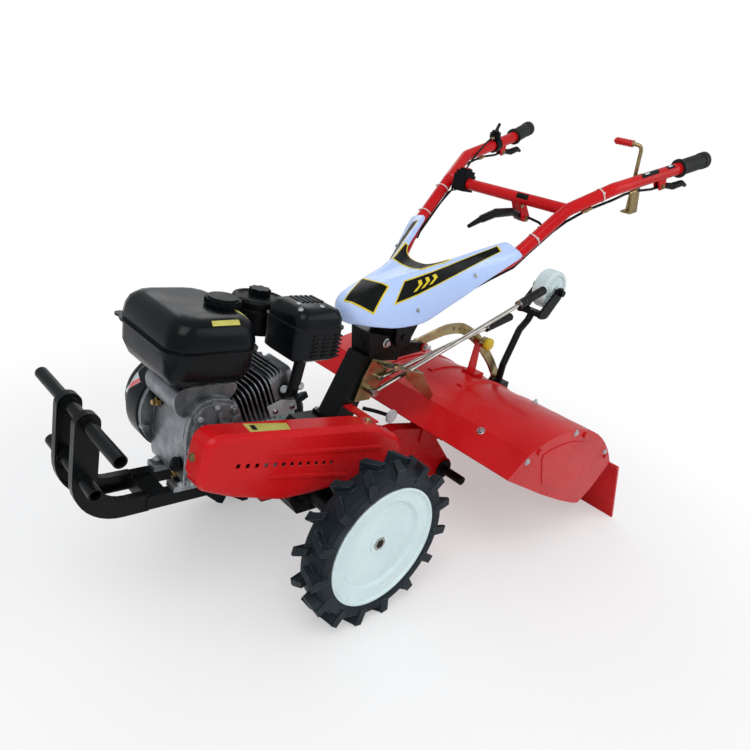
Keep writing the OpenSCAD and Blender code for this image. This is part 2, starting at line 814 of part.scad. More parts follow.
module rear_flap() {
  color("red")
    difference() {
      union() {
        for (y = [-255, -55, 105])
          across(flap_pin[0], flap_pin[1], 7, y, y + (y == -55 ? 110 : 150));
        plate([[-884, 59], [-889, 62], [-900, 58], [flap_foot[0], -150], flap_foot,
               [-994, -152], [-896, 46]], -flap_half, flap_half);
        // edge strips and their bolts
        for (s = [-1, 1]) {
          plate([[-906, 50], [-909, 48], [-997, -137], [-992, -140]], s * (flap_half - 16) - 14,
                s * (flap_half - 16) + 14);
          for (t = [0.3, 0.72])
            rod([-900 - 97 * t, s * (flap_half - 16), 54 - 196 * t],
                [-911 - 97 * t, s * (flap_half - 16), 49 - 196 * t], 6);
        }
      }
      across(flap_pin[0], flap_pin[1], 3 + run, -310, 310);
      for (y = [-305, -105, 55, 255])
        across(flap_pin[0], flap_pin[1], 12, y, y + 50);
    }
}

module gauge_arm() {
  color("black") {
    sweep(bend([[-735, 12, 186], [-738, 10, 250], [-787, 2, 363], [-822, 0, 392], [-834, 0, 420]], 25, 3),
          11);
    span([-852, -40, 412], [-817, 40, 428]);
    for (y = [-44, 36])
      plate(rounded([[-812, 408], [-812, 430], [-880, 508], [-908, 510], [-908, 480], [-856, 408]], 14,
                    3), y, y + 8);
    across(gauge_c[0], gauge_c[1], 6, -50, 50);
    across(gauge_c[0], gauge_c[1], 10, -56, -44);
    across(gauge_c[0], gauge_c[1], 10, 44, 56);
    difference() {
      span([-755, -9, 165], [-710, 40, 200]);
      across(hood_c[0], hood_c[1], hood_r - hood_t + 0.3, -60, 60, $fn = 180);
      // clear of the pressed stiffeners
      span([-780, 39, 150], [-700, 80, 210]);
    }
  }
}

module gauge_wheel() {
  color("white")
    translate([gauge_c[0], 0, gauge_c[1]])
      rotate([90, 0, 0])
        rotate_extrude()
          polygon([[6 + run, -25], [20, -25], [22, -20], [46, -19], [50, -24], [58, -24], [62, -18],
                   [62, 18], [58, 24], [50, 24], [46, 19], [22, 20], [20, 25], [6 + run, 25]]);
}

module depth_link() {
  color("goldenrod") {
    difference() {
      plate(rounded([[-318, 328], [-318, 350], [-440, 390], [-520, 392], [-606, 352], [-704, 272],
                     [-784, 190], [-762, 170], [-690, 248], [-598, 320], [-512, 362], [-440, 360]], 26,
                    2), -19, -11);
      // row of setting holes
      for (t = [0:4])
        across(-470 - 26 * t, 377 - 2.2 * t * t, 5, -30, 0);
    }
    across(link_pin[0], link_pin[1], 5.7, -24, 16);
    across(link_pin[0], link_pin[1], 14, -24, -19);
    across(ear_pin[0], ear_pin[1], 4.7, -36, -11);
    across(ear_pin[0], ear_pin[1], 12, -11, -7);
    // knob of the setting pin
    across(-600, 336, 6, -11, 8);
    across(-600, 336, 17, 8, 22);
  }
}

module link_bracket() {
  color("red") {
    difference() {
      union() {
        plate([[-626, 212], [-584, 212], [-590, 338], [-612, 338]], -10.9, -6);
        span([-626, -28, 212], [-584, 24, 238]);
        plate(rounded([[-805, 125], [-728, 145], [-748, 205], [-770, 214], [-788, 205]], 12, 2), -28,
              -22);
      }
      across(hood_c[0], hood_c[1], hood_r - hood_t + 0.3, -60, 60, $fn = 180);
      across(ear_pin[0], ear_pin[1], 5, -60, 60);
      across(-600, 336, 8, -60, 60);
    }
    // strap along the hood between the two
    translate([hood_c[0], 0, hood_c[1]])
      rotate([90, 0, 0])
        rotate_extrude(start = 101, angle = 32, $fn = 180)
          translate([hood_r - hood_t + 0.3, 16])
            square([3, 12]);
  }
}

// ---------- handlebar ----------

// Bracket that tilts on the column's pin and carries the two tubes.
module handlebar_head() {
  color("black") {
    span([-260, -46, 450], [-165, 46, 458]);
    for (s = [-1, 1])
      plate(concat([[-165, 452]], [[-260, 452]], arc([pivot_x, pivot_z], 28, 180, 360, 12)),
            s * 42 - 4, s * 42 + 4);
    across(pivot_x, pivot_z, 8, -50, 50);
  }
}

// Places its children on the left grip bar, d out from its lower bend.
// Local X runs out along the bar and local Z is above it.
module on_bar(d) {
  v = bar_knee - bar_bend;
  translate(bar_bend + unit(v) * d)
    rotate([0, -asin(v[2] / norm(v)), atan2(v[1], v[0])])
      children();
}

module handlebar_frame() {
  color("red") {
    for (s = [0, 1])
      mirror([0, s, 0])
        pipe([[-230, 28, 458], [-230, 28, 516], [-295, 112, 545], [-387, 166, 622], bar_cross,
              bar_bend, bar_knee, bar_end], tube_r, 50);
    rod([-521, -199, 763], bar_cross, tube_r - 1);
    // ears of the hand levers
    for (s = [0, 1])
      mirror([0, s, 0])
        on_bar(lever_at)
          for (y = [-9, 5])
            difference() {
              translate([0, y + 4, 0])
                rotate([90, 0, 0])
                  linear_extrude(4)
                    polygon([[-22, -8], [14, -8], [11, lever_z - 8], [-11, lever_z - 8]]);
              translate([0, -20, lever_z])
                rotate([-90, 0, 0])
                  cylinder(r = 3, h = 40);
            }
    // ears of the clutch lever
    for (y = [36, 60])
      plate([[-508, 756], [-534, 758], [-574, 718], [-566, 704], [-544, 706]], y, y + 4);
  }
}

// A point of the dash cover's skin. i counts from the nose, j from right to left.
function dash_point(i, j) =
  let (r = dash_rows[i], k = abs(j), arm = i >= dash_fork,
       v = [0, r[2] / 2, r[2], r[3], r[4], (r[4] + r[5]) / 2 + 2, r[5]][k],
       w = [r[6], r[6], arm ? r[7] - 8 : (r[6] + r[7]) / 2, r[7], r[8], (r[8] + r[9]) / 2, r[9]][k],
       u = r[0] + r[1] * pow(v / r[5], 2) - (i == dash_fork && k < 2 ? 20 - 4 * k : 0))
  [w * sin(dash_slope) - u * cos(dash_slope), sign(j) * v,
   dash_z + u * sin(dash_slope) + w * cos(dash_slope)];

// The same point on the inner side of the skin.
function dash_inner(i, j) =
  let (arm = i > dash_fork && abs(j) > 1, last = len(dash_rows) - 1,
       i1 = i == dash_fork && abs(j) < 2 ? i : min(i + 1, last),
       j0 = arm && j > 0 ? max(j - 1, 2) : max(j - 1, -6),
       j1 = arm && j < 0 ? min(j + 1, -2) : min(j + 1, 6))
  dash_point(i, j) + dash_t * unit(cross(dash_point(i1, j) - dash_point(max(i - 1, 0), j),
                                         dash_point(i, j1) - dash_point(i, j0)));

// A moulded skin that wraps the two bars and parts into an arm along each of them.
module dash_cover() {
  m = len(dash_rows);
  function cell(i, j) = i >= 0 && i < m - 1 && j >= 0 && j < 12 && (i < dash_fork || j < 4 || j > 7);
  function at(i, j, inner) = (inner ? m * 13 : 0) + i * 13 + j;
  function wall(a, b, c, d) = [[c, a, b], [c, b, d]];
  pts = concat([for (i = [0:m - 1], j = [-6:6]) dash_point(i, j)],
               [for (i = [0:m - 1], j = [-6:6]) dash_inner(i, j)]);
  faces = [for (i = [0:m - 2], j = [0:11]) if (cell(i, j))
    let (a = at(i, j), b = at(i + 1, j), c = at(i + 1, j + 1), d = at(i, j + 1), q = m * 13)
    each concat([[a, b, c], [a, c, d], [a + q, c + q, b + q], [a + q, d + q, c + q]],
                cell(i, j - 1) ? [] : wall(a, a + q, b, b + q),
                cell(i + 1, j) ? [] : wall(b, b + q, c, c + q),
                cell(i, j + 1) ? [] : wall(c, c + q, d, d + q),
                cell(i - 1, j) ? [] : wall(d, d + q, a, a + q))];
  up = [sin(dash_slope), 0, cos(dash_slope)];
  low = [-295, 112, 545];
  high = [-387, 166, 622];
  color("lavender") {
    polyhedron(points = pts, faces = faces);
    // posts that sit on the bars
    for (s = [0, 1])
      mirror([0, s, 0])
        difference() {
          rod((low + high) / 2 + up * 6, (low + high) / 2 + up * 30, 8);
          rod(low, high, tube_r + 0.1);
        }
  }
}

// Rubber grip over the end of the left tube.
module grip() {
  d = unit(bar_end - bar_knee);
  along(bar_end - d * 95, bar_end)
    difference() {
      union() {
        cylinder(r = tube_r + grip_t, h = 95 + tip_out);
        cylinder(r = tube_r + grip_t + 4, h = 5);
        translate([0, 0, 88])
          cylinder(r = tube_r + grip_t + 1.5, h = 7 + tip_out);
      }
      translate([0, 0, -1])
        cylinder(r = tube_r + 0.1, h = 96.3);
    }
}

module grip_left() {
  color("black")
    grip();
}

module grip_right() {
  color("black")
    mirror([0, 1, 0])
      grip();
}

module clutch_lever() {
  color("black") {
    across(-560, 712, 9, 40.2, 59.8);
    sweep(bend([[-564, 50, 712], [-506, 50, 724], [-440, 49, 716], [-390, 47, 697], [-348, 46, 676]], 20,
               2), [for (i = [0:10]) [9, 9, 10, 11, 12, 12, 11, 10, 9, 8, 5][i]]);
  }
}

// Brake lever: a curved blade between the ears of the left bar, with its pin.
module hand_lever() {
  on_bar(lever_at) {
    translate([0, -4.8, lever_z])
      rotate([-90, 0, 0])
        cylinder(r = 7, h = 9.6);
    translate([0, -13, lever_z])
      rotate([-90, 0, 0])
        cylinder(r = 2.9, h = 26);
    sweep(bend([[-10, 0, lever_z - 1], [20, 0, lever_z - 2], [58, 0, lever_z - 12],
                [100, 0, lever_z - 12], [118, 0, lever_z - 22]], 14, 2),
          [for (i = [0:10]) [4.5, 4.5, 4.7, 7.5, 9, 10, 10, 9, 8, 7, 5][i]]);
  }
}

module hand_lever_left() {
  color("black")
    hand_lever();
}

module hand_lever_right() {
  color("black")
    mirror([0, 1, 0])
      hand_lever();
}

module crank_handle() {
  color("goldenrod") {
    on_bar(120)
      difference() {
        union() {
          translate([-15, 16, -92])
            cube([30, 4, 102]);
          translate([-15, 0, -2])
            cube([30, 20, 4]);
          translate([-15, 16, -92])
            cube([30, 30, 5]);
        }
        translate([-20, 0, 0])
          rotate([0, 90, 0])
            cylinder(r = tube_r + 0.1, h = 60);
      }
    sweep(bend([[-775, 226, 782], [-737, 228, 951], [-722, 175, 952]], 14, 3), 5,
          ref = [1, 0, 0]);
    ribbed_grip([-731, 206.8, 951.4], [-720, 158, 952.3], 9);
  }
}

// A point t of the way from a to b, lowered by d square to that line.
function under(a, b, t, d) =
  let (v = unit(b - a), up = unit([0, 0, 1] - v[2] * v))
  a + (b - a) * t - up * d;

// Cable that leaves the left lever's ears and runs under the bar into the dash cover.
module cable() {
  g = tube_r + cable_r + 0.3;
  v = bar_knee - bar_bend;
  k = (lever_at - 12) / norm(v);
  sweep(bend([under(bar_bend, bar_knee, k, -lever_z + 1), under(bar_bend, bar_knee, k - 0.1, 33),
              under(bar_bend, bar_knee, k - 0.35, g + 4), under(bar_bend, bar_knee, 0.2, g + 3),
              under(bar_bend, bar_cross, 0.05, g + 6), under(bar_bend, bar_cross, 0.6, g + 2),
              under([-387, 166, 622], bar_cross, 0.93, g + 5), under([-387, 166, 622], bar_cross, 0.7, g),
              under([-387, 166, 622], bar_cross, 0.3, g), under([-387, 166, 622], bar_cross, 0, g + 2),
              under([-295, 112, 545], [-387, 166, 622], 0.5, g),
              under([-295, 112, 545], [-387, 166, 622], 0.2, g + 2)], 12, 2), cable_r, 8);
}

module cable_left() {
  color("black")
    cable();
}

module cable_right() {
  color("black")
    mirror([0, 1, 0])
      cable();
}

// Cable from the clutch lever over to the left bar.
module cable_clutch() {
  g = tube_r + cable_r + 0.3;
  color("black")
    sweep(bend([[-562, 64.3, 716], [-562, 76, 716], [-573, 98, 711], [-570, 122, 699], [-540, 146, 691],
                [-500, 160, 694], [-467.4, 185.8, 706.6] + g * unit([-0.115, -0.986, 0.121])], 7, 2),
          cable_r, 8, ref = [0, 0, 1]);
}

// Box with a rocker on the cross tube.
module stop_switch() {
  color("black")
    difference() {
      union() {
        span([-543, -166, 741], [-499, -124, 786]);
        span([-540, -163, 785], [-502, -127, 796]);
        span([-534, -157, 795], [-508, -133, 802]);
      }
      across(-521, 763, tube_r - 0.9, -170, -120);
    }
}

// Throttle on a clamp around the right bar: body, lever and cable boss.
module throttle_lever() {
  color("black")
    mirror([0, 1, 0])
      on_bar(140) {
        difference() {
          rotate([0, 90, 0])
            cylinder(r = tube_r + 6, h = 26);
          translate([-1, 0, 0])
            rotate([0, 90, 0])
              cylinder(r = tube_r + 0.1, h = 30);
        }
        translate([13, 0, tube_r + 4])
          cylinder(r = 17, h = 16);
        translate([13, 0, tube_r + 19])
          cylinder(r = 11, h = 8);
        rod([13, 0, tube_r + 22], [58, -16, tube_r + 34], 5);
        rod([-16, 6, tube_r + 10], [4, 3, tube_r + 12], 4);
      }
}

// ---------- the parked machine ----------

park() {
  chassis_rails();
  front_bumper();
  engine_crankcase();
  engine_cylinder();
  recoil_housing();
  fuel_tank();
  fuel_cap();
  muffler();
  air_cleaner();
  belt_cover();
  gearbox();
  handle_column();
  shift_gate();
  shift_lever_long();
  shift_lever_short();
  rim_left();
  tyre_left();
  axle_left();
  rim_right();
  tyre_right();
  axle_right();
  tiller_case();
  hood_shell();
  hood_end_left();
  hood_end_right();
  rotor_shaft();
  rear_flap();
  gauge_arm();
  gauge_wheel();
  depth_link();
  link_bracket();
  handlebar_head();
  handlebar_frame();
  dash_cover();
  grip_left();
  grip_right();
  clutch_lever();
  hand_lever_left();
  hand_lever_right();
  crank_handle();
  stop_switch();
  throttle_lever();
  cable_left();
  cable_right();
  cable_clutch();
}
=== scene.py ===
"""Looks of the motor tiller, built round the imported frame. Metres, +X forward, +Y left, +Z up."""
import json
import math

import bpy
import bmesh
from mathutils import Matrix, Vector
from mathutils.bvhtree import BVHTree


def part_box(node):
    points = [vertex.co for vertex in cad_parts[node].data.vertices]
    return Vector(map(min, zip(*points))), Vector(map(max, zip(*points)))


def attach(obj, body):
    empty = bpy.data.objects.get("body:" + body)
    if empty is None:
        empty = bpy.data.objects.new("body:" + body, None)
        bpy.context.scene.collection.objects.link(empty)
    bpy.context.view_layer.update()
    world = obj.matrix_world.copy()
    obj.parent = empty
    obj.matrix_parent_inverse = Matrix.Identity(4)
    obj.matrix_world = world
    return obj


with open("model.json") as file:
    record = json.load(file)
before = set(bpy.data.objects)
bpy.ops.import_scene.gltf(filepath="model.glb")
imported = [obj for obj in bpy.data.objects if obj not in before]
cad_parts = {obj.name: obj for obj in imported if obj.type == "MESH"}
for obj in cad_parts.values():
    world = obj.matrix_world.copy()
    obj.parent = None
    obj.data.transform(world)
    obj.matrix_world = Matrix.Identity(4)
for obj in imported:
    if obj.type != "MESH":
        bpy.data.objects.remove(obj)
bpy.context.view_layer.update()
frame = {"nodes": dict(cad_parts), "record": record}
NODES = frame["nodes"]

# ---------------------------------------------------------------- places

# The machine is drawn level, in millimetres, with its origin on the wheel axle.
FLAP_FOOT = (-1001.0, -153.0)
WHEEL_R = 205.0
PITCH = math.asin(WHEEL_R / math.hypot(*FLAP_FOOT)) - math.atan2(-FLAP_FOOT[1], -FLAP_FOOT[0])
_lo, _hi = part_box("axle_left")
AXLE = Vector(((_lo[0] + _hi[0]) / 2, 0.0, (_lo[2] + _hi[2]) / 2))
TURN = Matrix.Rotation(-PITCH, 3, "Y")


def at(x, y, z):
    """A point of the level machine, in millimetres, as a place in the frame, in metres."""
    return AXLE + TURN @ (Vector((x, y, z)) / 1000.0)


# ---------------------------------------------------------------- materials

def tree(name):
    m = bpy.data.materials.new(name)
    m.use_nodes = True
    nt = m.node_tree
    nt.nodes.clear()
    out = nt.nodes.new("ShaderNodeOutputMaterial")
    bsdf = nt.nodes.new("ShaderNodeBsdfPrincipled")
    nt.links.new(bsdf.outputs[0], out.inputs[0])
    return m, nt, bsdf


def noise(nt, scale, detail=3.0, rough=0.5, distortion=0.0):
    co = nt.nodes.new("ShaderNodeTexCoord")
    n = nt.nodes.new("ShaderNodeTexNoise")
    n.inputs["Scale"].default_value = scale
    n.inputs["Detail"].default_value = detail
    n.inputs["Roughness"].default_value = rough
    n.inputs["Distortion"].default_value = distortion
    nt.links.new(co.outputs["Object"], n.inputs["Vector"])
    return n.outputs["Fac"]


def ramp(nt, fac, stops):
    r = nt.nodes.new("ShaderNodeValToRGB")
    while len(r.color_ramp.elements) > len(stops):
        r.color_ramp.elements.remove(r.color_ramp.elements[-1])
    while len(r.color_ramp.elements) < len(stops):
        r.color_ramp.elements.new(0.5)
    for e, (p, c) in zip(r.color_ramp.elements, stops):
        e.position = p
        e.color = (*c, 1.0) if len(c) == 3 else c
    nt.links.new(fac, r.inputs[0])
    return r.outputs["Color"]


def mixed(nt, fac, c0, c1):
    """Colour c0 where fac is 0 and c1 where it is 1; either may be a colour or a socket."""
    m = nt.nodes.new("ShaderNodeMix")
    m.data_type = "RGBA"
    nt.links.new(fac, m.inputs["Factor"])
    for key, c in (("A", c0), ("B", c1)):
        socket = [i for i in m.inputs if i.name == key and i.type == "RGBA"][0]
        if isinstance(c, tuple):
            socket.default_value = (*c, 1.0)
        else:
            nt.links.new(c, socket)
    return [o for o in m.outputs if o.type == "RGBA"][0]


def maths(nt, kind, a, b=None, clamp=True):
    n = nt.nodes.new("ShaderNodeMath")
    n.operation = kind
    n.use_clamp = clamp
    for i, v in enumerate((a, b)):
        if v is None:
            continue
        if isinstance(v, (int, float)):
            n.inputs[i].default_value = v
        else:
            nt.links.new(v, n.inputs[i])
    return n.outputs[0]


def edges(nt, radius):
    """1 on sharp edges and 0 on open faces, broken up by a noise, with the rounded normal."""
    bevel = nt.nodes.new("ShaderNodeBevel")
    bevel.samples = 6
    bevel.inputs["Radius"].default_value = radius
    geo = nt.nodes.new("ShaderNodeNewGeometry")
    dot = nt.nodes.new("ShaderNodeVectorMath")
    dot.operation = "DOT_PRODUCT"
    nt.links.new(bevel.outputs[0], dot.inputs[0])
    nt.links.new(geo.outputs["Normal"], dot.inputs[1])
    turned = maths(nt, "SUBTRACT", 0.97, dot.outputs["Value"])
    sharp = maths(nt, "MULTIPLY", turned, 9.0)
    rough = ramp(nt, noise(nt, 46.0, 4.0, 0.65), [(0.42, (0.0,) * 3), (0.60, (1.0,) * 3)])
    return maths(nt, "MULTIPLY", sharp, rough), bevel.outputs[0]


def grained(nt, b, grain, strength, depth, rounded):
    """A fine bump over the rounded edges."""
    bump = nt.nodes.new("ShaderNodeBump")
    bump.inputs["Strength"].default_value = strength
    bump.inputs["Distance"].default_value = depth
    nt.links.new(noise(nt, grain, 2.0), bump.inputs["Height"])
    nt.links.new(rounded, bump.inputs["Normal"])
    nt.links.new(bump.outputs[0], b.inputs["Normal"])


def surface(name, colours, rough=(0.35, 0.5), metallic=0.0, scale=6.0, grain=600.0, bump=0.1,
            depth=0.0002, coat=0.0, coat_rough=0.1, rough_scale=18.0, detail=4.0, worn=None,
            wear=0.5, dust=None, dust_scale=4.0, specular=0.5, bevel=0.0009, painted_shade=None,
            hollow=0.025):
    """A procedural material: colour patches, dust, painted shade in hollows, worn edges, uneven gloss,
    grain.
    """
    m, nt, b = tree(name)
    stops = [(0.35 + 0.3 * i / max(1, len(colours) - 1), c) for i, c in enumerate(colours)]
    colour = ramp(nt, noise(nt, scale, detail), stops)
    if dust:
        patches = ramp(nt, noise(nt, dust_scale, 6.0, 0.7), [(0.52, (0.0,) * 3), (0.78, (1.0,) * 3)])
        colour = mixed(nt, maths(nt, "MULTIPLY", patches, 0.5), colour, dust)
    # painted shade: where ambient occlusion finds a hollow, the colour is darkened towards the given
    # shade colour
    if painted_shade:
        ao = nt.nodes.new("ShaderNodeAmbientOcclusion")
        ao.samples = 6
        ao.inputs["Distance"].default_value = hollow
        deep = ramp(nt, ao.outputs["AO"], [(0.30, (1.0,) * 3), (0.85, (0.0,) * 3)])
        colour = mixed(nt, deep, colour, painted_shade)
    edge, rounded = edges(nt, bevel)
    if worn:
        colour = mixed(nt, maths(nt, "MULTIPLY", edge, wear), colour, worn)
    nt.links.new(colour, b.inputs["Base Color"])
    r = ramp(nt, noise(nt, rough_scale, 3.0), [(0.35, (rough[0],) * 3), (0.65, (rough[1],) * 3)])
    nt.links.new(r, b.inputs["Roughness"])
    b.inputs["Metallic"].default_value = metallic
    b.inputs["Specular IOR Level"].default_value = specular
    b.inputs["Coat Weight"].default_value = coat
    b.inputs["Coat Roughness"].default_value = coat_rough
    grained(nt, b, grain, bump, depth, rounded)
    return m


RED = surface("red_paint", [(0.50, 0.006, 0.008), (0.58, 0.010, 0.012)], (0.18, 0.32), 0.0, 5.0,
              260.0, 0.12, 0.0003, worn=(0.60, 0.08, 0.07), wear=0.45, specular=0.15)
BLACK = surface("black_paint", [(0.0030, 0.0034, 0.0036), (0.0065, 0.0072, 0.0078)], (0.22, 0.40),
                0.0, 9.0, 420.0, 0.15, 0.0002, worn=(0.05, 0.05, 0.05), wear=0.5, specular=0.12)
ENAMEL = surface("black_enamel", [(0.0018, 0.0026, 0.0034), (0.0040, 0.0052, 0.0064)], (0.20, 0.32),
                 0.0, 9.0, 300.0, 0.08, 0.0002, worn=(0.035, 0.042, 0.048), wear=0.5, specular=0.14,
                 bevel=0.002)
PLASTIC = surface("black_plastic", [(0.0020, 0.0026, 0.0032), (0.0042, 0.0050, 0.0058)],
                  (0.34, 0.48), 0.0, 12.0, 1400.0, 0.3, 0.00015, worn=(0.035, 0.035, 0.035), wear=0.4,
                  specular=0.10)
# the cast alloy gets painted shade in its hollows from the ambient occlusion mix
ALLOY = surface("cast_alloy", [(0.19, 0.205, 0.22), (0.26, 0.275, 0.29), (0.34, 0.36, 0.38)],
                (0.26, 0.44), 0.7, 34.0, 900.0, 0.45, 0.0003, worn=(0.80, 0.82, 0.84), wear=0.9,
                dust=(0.20, 0.205, 0.21), dust_scale=22.0, specular=0.3, bevel=0.0016,
                painted_shade=(0.012, 0.014, 0.016), hollow=0.035)
ZINC = surface("yellow_zinc", [(0.24, 0.18, 0.08), (0.40, 0.31, 0.15), (0.32, 0.25, 0.16)],
               (0.25, 0.42), 1.0, 22.0, 700.0, 0.2, 0.0002, worn=(0.55, 0.50, 0.40), wear=0.5)
NICKEL = surface("nickel", [(0.34, 0.33, 0.30), (0.52, 0.50, 0.45)], (0.16, 0.3), 1.0, 18.0,
                 500.0, 0.1, 0.0001, worn=(0.7, 0.69, 0.66), wear=0.3)
WHITE = surface("white_enamel", [(0.62, 0.76, 0.77), (0.69, 0.82, 0.83)], (0.26, 0.4), 0.0, 8.0,
                350.0, 0.15, 0.0003, worn=(0.46, 0.50, 0.50), wear=0.35,
                dust=(0.52, 0.62, 0.62), dust_scale=3.0, specular=0.4)
RUBBER = surface("tyre_rubber", [(0.006, 0.011, 0.015), (0.013, 0.021, 0.027)], (0.40, 0.6), 0.0,
                 12.0, 500.0, 0.35, 0.0004, worn=(0.13, 0.155, 0.17), wear=0.75,
                 dust=(0.026, 0.034, 0.040), dust_scale=7.0, specular=0.14, bevel=0.0026)
GRIP = surface("grip_rubber", [(0.006, 0.0065, 0.0065), (0.013, 0.014, 0.014)], (0.5, 0.65), 0.0,
               20.0, 1200.0, 0.3, 0.0002, worn=(0.05, 0.05, 0.05), wear=0.3, specular=0.3)
SHELL = surface("violet_white_plastic", [(0.43, 0.57, 0.90), (0.48, 0.62, 0.93)], (0.16, 0.26),
                0.0, 4.0, 200.0, 0.05, 0.0002, worn=(0.62, 0.72, 0.95), wear=0.3, specular=0.4,
                bevel=0.0018)
YELLOW = surface("yellow_film", [(0.64, 0.49, 0.02), (0.74, 0.58, 0.03)], (0.3, 0.4), 0.0, 30.0,
                 500.0, 0.1, 0.0001, worn=(0.50, 0.40, 0.05), wear=0.3, specular=0.3, bevel=0.0003)
OLIVE = surface("dull_yellow_film", [(0.44, 0.40, 0.08), (0.54, 0.50, 0.12)], (0.3, 0.4), 0.0, 30.0,
                500.0, 0.1, 0.0001, worn=(0.36, 0.33, 0.10), wear=0.3, specular=0.3, bevel=0.0003)
FILM = surface("black_film", [(0.0035, 0.004, 0.004), (0.007, 0.0075, 0.0075)], (0.28, 0.38), 0.0,
               30.0, 500.0, 0.1, 0.0001, worn=(0.04, 0.04, 0.04), wear=0.3, specular=0.1,
               bevel=0.0003)
PALE = surface("pale_film", [(0.58, 0.64, 0.66), (0.68, 0.73, 0.75)], (0.3, 0.45), 0.0, 25.0, 500.0,
               0.1, 0.0001, worn=(0.5, 0.5, 0.5), wear=0.3, specular=0.3, bevel=0.0003)
PINK = surface("pink_film", [(0.66, 0.12, 0.14), (0.74, 0.20, 0.21)], (0.3, 0.45), 0.0, 25.0, 500.0,
               0.1, 0.0001, worn=(0.6, 0.3, 0.3), wear=0.3, specular=0.3, bevel=0.0003)
STEEL = surface("bright_zinc", [(0.38, 0.39, 0.40), (0.56, 0.57, 0.58)], (0.2, 0.34), 1.0, 40.0,
                700.0, 0.2, 0.0001, worn=(0.85, 0.85, 0.85), wear=0.4, bevel=0.0005)
DULL = surface("dull_zinc", [(0.34, 0.36, 0.37), (0.48, 0.50, 0.51)], (0.42, 0.58), 0.35, 30.0,
               700.0, 0.25, 0.0002, worn=(0.70, 0.71, 0.72), wear=0.5, specular=0.4, bevel=0.0006)
BRASS = surface("brass", [(0.44, 0.28, 0.09), (0.58, 0.40, 0.16)], (0.25, 0.4), 1.0, 40.0, 700.0,
                0.2, 0.0001, worn=(0.8, 0.66, 0.36), wear=0.4, bevel=0.0005)
TIE = surface("clear_nylon", [(0.62, 0.50, 0.49), (0.72, 0.62, 0.60)], (0.3, 0.42), 0.0, 30.0, 600.0,
              0.1, 0.0001, worn=(0.75, 0.70, 0.68), wear=0.3, specular=0.4, bevel=0.0004)

SLOT_MATERIAL = {
    "red_paint": RED, "black_paint": BLACK, "black_enamel": ENAMEL, "black_plastic": PLASTIC,
    "cast_aluminium": ALLOY, "zinc_plate": ZINC, "nickel_plate": NICKEL, "white_paint": WHITE,
    "tyre_rubber": RUBBER, "grip_rubber": GRIP, "white_plastic": SHELL,
}


def shade(o, angle=35.0):
    """Smooth shading that keeps edges sharper than the angle."""
    o.data.shade_smooth()
    bm = bmesh.new()
    bm.from_mesh(o.data)
    limit = math.radians(angle)
    for e in bm.edges:
        if len(e.link_faces) == 2:
            e.smooth = e.calc_face_angle(0.0) < limit
        else:
            e.smooth = False
    bm.to_mesh(o.data)
    bm.free()


def soften(o, angle):
    """Joins the facets of a CAD node so that edges flatter than the angle shade smoothly."""
    if "custom_normal" in o.data.attributes:
        o.data.attributes.remove(o.data.attributes["custom_normal"])
    o.data.shade_smooth()
    weld = o.modifiers.new("weld", "WELD")
    weld.merge_threshold = 0.00001
    split = o.modifiers.new("sharp", "EDGE_SPLIT")
    split.split_angle = math.radians(angle)
    split.use_edge_sharp = False
    even = o.modifiers.new("even", "WEIGHTED_NORMAL")
    even.mode = "FACE_AREA"
    even.weight = 50


for part in frame["record"]["subparts"]:
    o = NODES[part["node"]]
    o.data.materials.clear()
    o.data.materials.append(SLOT_MATERIAL[part["material_slot"]])

# nodes whose curves come as facets, and the sharpest turn that still shades round
for name, angle in (("fuel_tank", 50), ("belt_cover", 22), ("air_cleaner", 50), ("muffler", 50),
                    ("recoil_housing", 50), ("fuel_cap", 40), ("engine_crankcase", 24),
                    ("clutch_lever", 60), ("hand_lever_left", 60), ("hand_lever_right", 60),
                    ("crank_handle", 40), ("gauge_arm", 40), ("cable_left", 60),
                    ("cable_right", 60), ("cable_clutch", 60), ("tyre_left", 30),
                    ("tyre_right", 30)):
    soften(NODES[name], angle)

# the cover's skin is drawn as flat cells; here it is one smooth moulding
cover = NODES["dash_cover"]
soften(cover, 180)
cover.modifiers.remove(cover.modifiers["sharp"])
cover.modifiers.remove(cover.modifiers["even"])
fine = cover.modifiers.new("fine", "SUBSURF")
fine.levels = 2
fine.render_levels = 2

# ---------------------------------------------------------------- trim

def level(v):
    """A place in the frame, in metres, as a point of the level machine, in millimetres."""
    return TURN.transposed() @ (v - AXLE) * 1000.0


SKINS = {}


def meet(node, p, n, reach=40.0):
    """The point of the node's surface met from p + n * reach along -n, or None."""
    if node not in SKINS:
        shown = NODES[node].evaluated_get(bpy.context.evaluated_depsgraph_get())
        mesh = shown.to_mesh()
        SKINS[node] = BVHTree.FromPolygons([level(v.co) for v in mesh.vertices],
                                           [f.vertices[:] for f in mesh.polygons])
        shown.to_mesh_clear()
    return SKINS[node].ray_cast(Vector(p) + Vector(n) * reach, -Vector(n), reach * 2)[0]


def land(node, p, n, reach=40.0):
    """The same point, or p itself where the surface is missed."""
    return meet(node, p, n, reach) or Vector(p)


